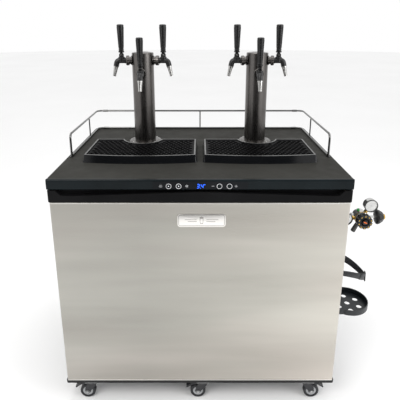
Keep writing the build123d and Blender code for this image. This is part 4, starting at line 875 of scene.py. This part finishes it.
# ------------------------------------------------------------------ bottle bracket: screws, strap with buckle
bm = bmesh.new()
for y, z in ((-34, 113), (34, 113), (-34, -66), (34, -66)):
    p = C(495, -212 + y, 462 + z) + X * 0.0026
    lathe_bm(bm, [(0.0058, 0), (0.0062, 0.0006), (0.0060, 0.0016), (0.0044, 0.0030), (0.0020, 0.0035), (0.0020, 0.0016), (0, 0.0016)], p, X, 28)
finish_mesh("bracket_screws", bm, M["zinc"], "cabinet")


def strap_line(t):
    """Centre line of the strap: out of one flange, round in front, lower in the middle, and back."""
    y = -212 + 69.4 * math.cos(math.pi * t)
    s = math.sin(math.pi * t)
    x = 507.5 + 121 * s ** 0.72 * (0.97 + 0.03 * math.cos(2 * math.pi * t))
    z = 508 - 47 * s ** 1.15 - 4.0 * math.sin(2 * math.pi * t)
    return C(x, y, z)


def strap_mesh(bm, t0, t1, n, width, thick, lift=0.0, twist=0.0):
    prev = None
    for k in range(n + 1):
        t = t0 + (t1 - t0) * k / n
        p = strap_line(t)
        q = (strap_line(min(1, t + 0.004)) - strap_line(max(0, t - 0.004))).normalized()
        out = (p - C(560, -212, p.z * 1000)).normalized()
        up = Z - q * Z.dot(q)
        up = (up.normalized() + out * (0.18 + twist * math.sin(9 * t))).normalized()
        side = q.cross(up).normalized()
        if side.dot(out) < 0:
            side = -side
        c = p + side * lift
        hw, ht, e = width / 2, thick / 2, thick * 0.45
        loop = [(-hw + e, -ht), (hw - e, -ht), (hw, 0), (hw - e, ht), (-hw + e, ht), (-hw, 0)]
        ring = [bm.verts.new(c + up * a + side * b) for a, b in loop]
        if prev:
            for i in range(6):
                bm.faces.new((prev[i], prev[(i + 1) % 6], ring[(i + 1) % 6], ring[i]))
        else:
            bm.faces.new(ring)
        prev = ring
    bm.faces.new(prev)


bm = bmesh.new()
strap_mesh(bm, 0.0, 1.0, 90, 0.025, 0.0018)
strap_mesh(bm, 0.60, 0.80, 26, 0.025, 0.0016, lift=0.0026)
strap = finish_mesh("strap_webbing", bm, M["web"], "cabinet", 50)
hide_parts("bracket_strap")
# the ladder buckle
bm = bmesh.new()
for tc in (0.60,):
    p = strap_line(tc)
    q = (strap_line(tc + 0.01) - strap_line(tc - 0.01)).normalized()
    up = (Z - q * Z.dot(q)).normalized()
    side = q.cross(up).normalized()
    out = (p - C(560, -212, p.z * 1000)).normalized()
    if side.dot(out) < 0:
        side = -side
    rot = Matrix((q, side, up)).transposed()
    c = p + side * 0.003
    for du in (-0.0145, 0.0, 0.0145):
        box_bm(bm, c + q * du, (0.0042, 0.0042, 0.033), 0.0014, rot, 3)
    for dz in (-0.0148, 0.0148):
        box_bm(bm, c + up * dz, (0.033, 0.0036, 0.0034), 0.0013, rot, 3)
finish_mesh("strap_buckle", bm, M["tap"], "cabinet", 40)

# ------------------------------------------------------------------ keg disconnects on their rack
bmb, bmy, bms = bmesh.new(), bmesh.new(), bmesh.new()
EV = 345 - 1.2 - 50 - 2
for z in (640.0, 720.0):
    for x in (270.0, 330.0, 390.0):
        o = C(x, EV - 6, z)
        lathe_bm(bmb, [(0.0094, 0), (0.0146, 0), (0.0152, 0.0006), (0.0152, 0.0024), (0.0148, 0.003), (0.0148, 0.0155), (0.0156, 0.0165), (0.0156, 0.0185),
                       (0.0132, 0.0205), (0.0128, 0.026), (0.0132, 0.0268), (0.0132, 0.0335), (0.0118, 0.0362), (0.0060, 0.0372), (0, 0.0374)], o, -Y, 44)
        lathe_bm(bmy, [(0.0151, 0.0025), (0.0172, 0.0025), (0.0180, 0.0034), (0.0180, 0.0088), (0.0174, 0.0100), (0.0174, 0.0112), (0.0180, 0.0120),
                       (0.0180, 0.0138), (0.0170, 0.0148), (0.0151, 0.0150)], o, -Y, 48)
        for k in range(18):
            a = math.tau * k / 18
            r = X * math.cos(a) + Z * math.sin(a)
            t = X * -math.sin(a) + Z * math.cos(a)
            rot = Matrix((r, t, -Y)).transposed()
            box_bm(bmy, o + r * 0.0180 - Y * 0.0062, (0.0010, 0.0026, 0.0052), 0.0003, rot)
        p = o - Y * 0.0270
        lathe_bm(bmb, [(0.0046, 0.010), (0.0052, 0.012), (0.0052, 0.0215), (0.0066, 0.022), (0.0066, 0.0235), (0.0048, 0.0262), (0.0048, 0.0272), (0.0040, 0.0285), (0.0022, 0.0285), (0.0022, 0.026), (0, 0.026)], p, -Z, 28)
        lathe_bm(bms, [(0.0035, 0), (0.0038, 0.0005), (0.0038, 0.0009), (0, 0.0010)], o - Y * 0.0372, -Y, 20)
body_obj = finish_mesh("disconnect_bodies", bmb, M["tap"], "cabinet")
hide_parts("disconnects")
finish_mesh("disconnect_rings", bmy, M["yellow"], "cabinet")
finish_mesh("disconnect_caps", bms, M["steel"], "cabinet")

# ------------------------------------------------------------------ rear and inside details
bm = bmesh.new()
for sx in (-1, 1):
    for sz in (-1, 1):
        p = C(sx * 426, 346.4, 200.5 + sz * 95.5)
        lathe_bm(bm, [(0.0042, 0), (0.0044, 0.0006), (0.0036, 0.0018), (0.0016, 0.0021), (0.0016, 0.0009), (0, 0.0009)], p, Y, 24)
finish_mesh("rear_screws", bm, M["zinc"], "cabinet")

bm = bmesh.new()       # finger guard over the fan
fo = C(0, EV - 45.6, 640)
for r in (0.014, 0.024, 0.034, 0.044, 0.054):
    prof = [(r + 0.0009 * math.cos(math.tau * k / 8), 0.0009 * math.sin(math.tau * k / 8)) for k in range(8)]
    lathe_bm(bm, prof + [prof[0]], fo, -Y, 64)
for k in range(4):
    a = math.radians(45 + 90 * k)
    r = X * math.cos(a) + Z * math.sin(a)
    t = X * -math.sin(a) + Z * math.cos(a)
    rot = Matrix((r, t, -Y)).transposed()
    box_bm(bm, fo + r * 0.036 + Y * 0.0010, (0.046, 0.0018, 0.0014), 0.0005, rot)
finish_mesh("fan_guard", bm, M["chrome"], "cabinet")

# ------------------------------------------------------------------ floor, light
def stage_plane(name, pts, mat):
    me = bpy.data.meshes.new(name)
    me.from_pydata(pts, [], [tuple(range(len(pts)))])
    me.materials.append(mat)
    ob = bpy.data.objects.new(name, me)
    scene.collection.objects.link(ob)
    return ob


floor_net = Net("studio_floor")
floor_net.color(floor_net.ramp(floor_net.noise(0.6), [(0.3, (0.90, 0.90, 0.90)), (0.7, (0.93, 0.93, 0.93))]))
floor_net.rough(floor_net.remap(floor_net.noise(2), 0.75, 0.85))
R = 22.0
stage_plane("studio_floor", [(R * math.cos(math.tau * k / 64), R * math.sin(math.tau * k / 64), -0.0003) for k in range(64)], floor_net.mat)

flag_net = Net("studio_flag")
flag_net.color(flag_net.ramp(flag_net.noise(1.0), [(0.3, (0.012, 0.012, 0.012)), (0.7, (0.016, 0.016, 0.016))]))
flag_net.rough(flag_net.remap(flag_net.noise(2), 0.9, 0.95))
fy0 = FRONT - 2.6
flag = stage_plane("studio_flag", [(OX - 2.1, fy0, 0.05), (OX + 1.6, fy0, 0.05), (OX + 1.6, fy0, 2.6), (OX - 2.1, fy0, 2.6)], flag_net.mat)
flag.visible_camera = False
flag.visible_diffuse = False
flag.visible_shadow = False
flag.visible_transmission = False

world = bpy.data.worlds.new("studio")
scene.world = world
world.use_nodes = True
nt = world.node_tree
bg = nt.nodes["Background"]
bg.inputs["Color"].default_value = (1.0, 1.0, 1.0, 1)
bg.inputs["Strength"].default_value = 1.0


def area(name, loc, target, size, power, color=(1, 1, 1)):
    d = bpy.data.lights.new(name, "AREA")
    d.shape = "RECTANGLE"
    d.size, d.size_y = size
    d.energy = power
    d.color = color
    o = bpy.data.objects.new(name, d)
    scene.collection.objects.link(o)
    o.location = loc
    o.rotation_euler = (Vector(target) - Vector(loc)).to_track_quat("-Z", "Y").to_euler()
    return o


area("key", (OX - 1.4, -2.2, 2.9), (OX, 0, 0.7), (1.6, 1.2), 34, (1.0, 0.985, 0.96))
area("fill", (OX + 2.2, -1.4, 1.8), (OX, 0, 0.7), (1.2, 1.6), 22)
area("top", (OX, 0.3, 3.0), (OX, 0, 0.9), (2.2, 1.6), 16)
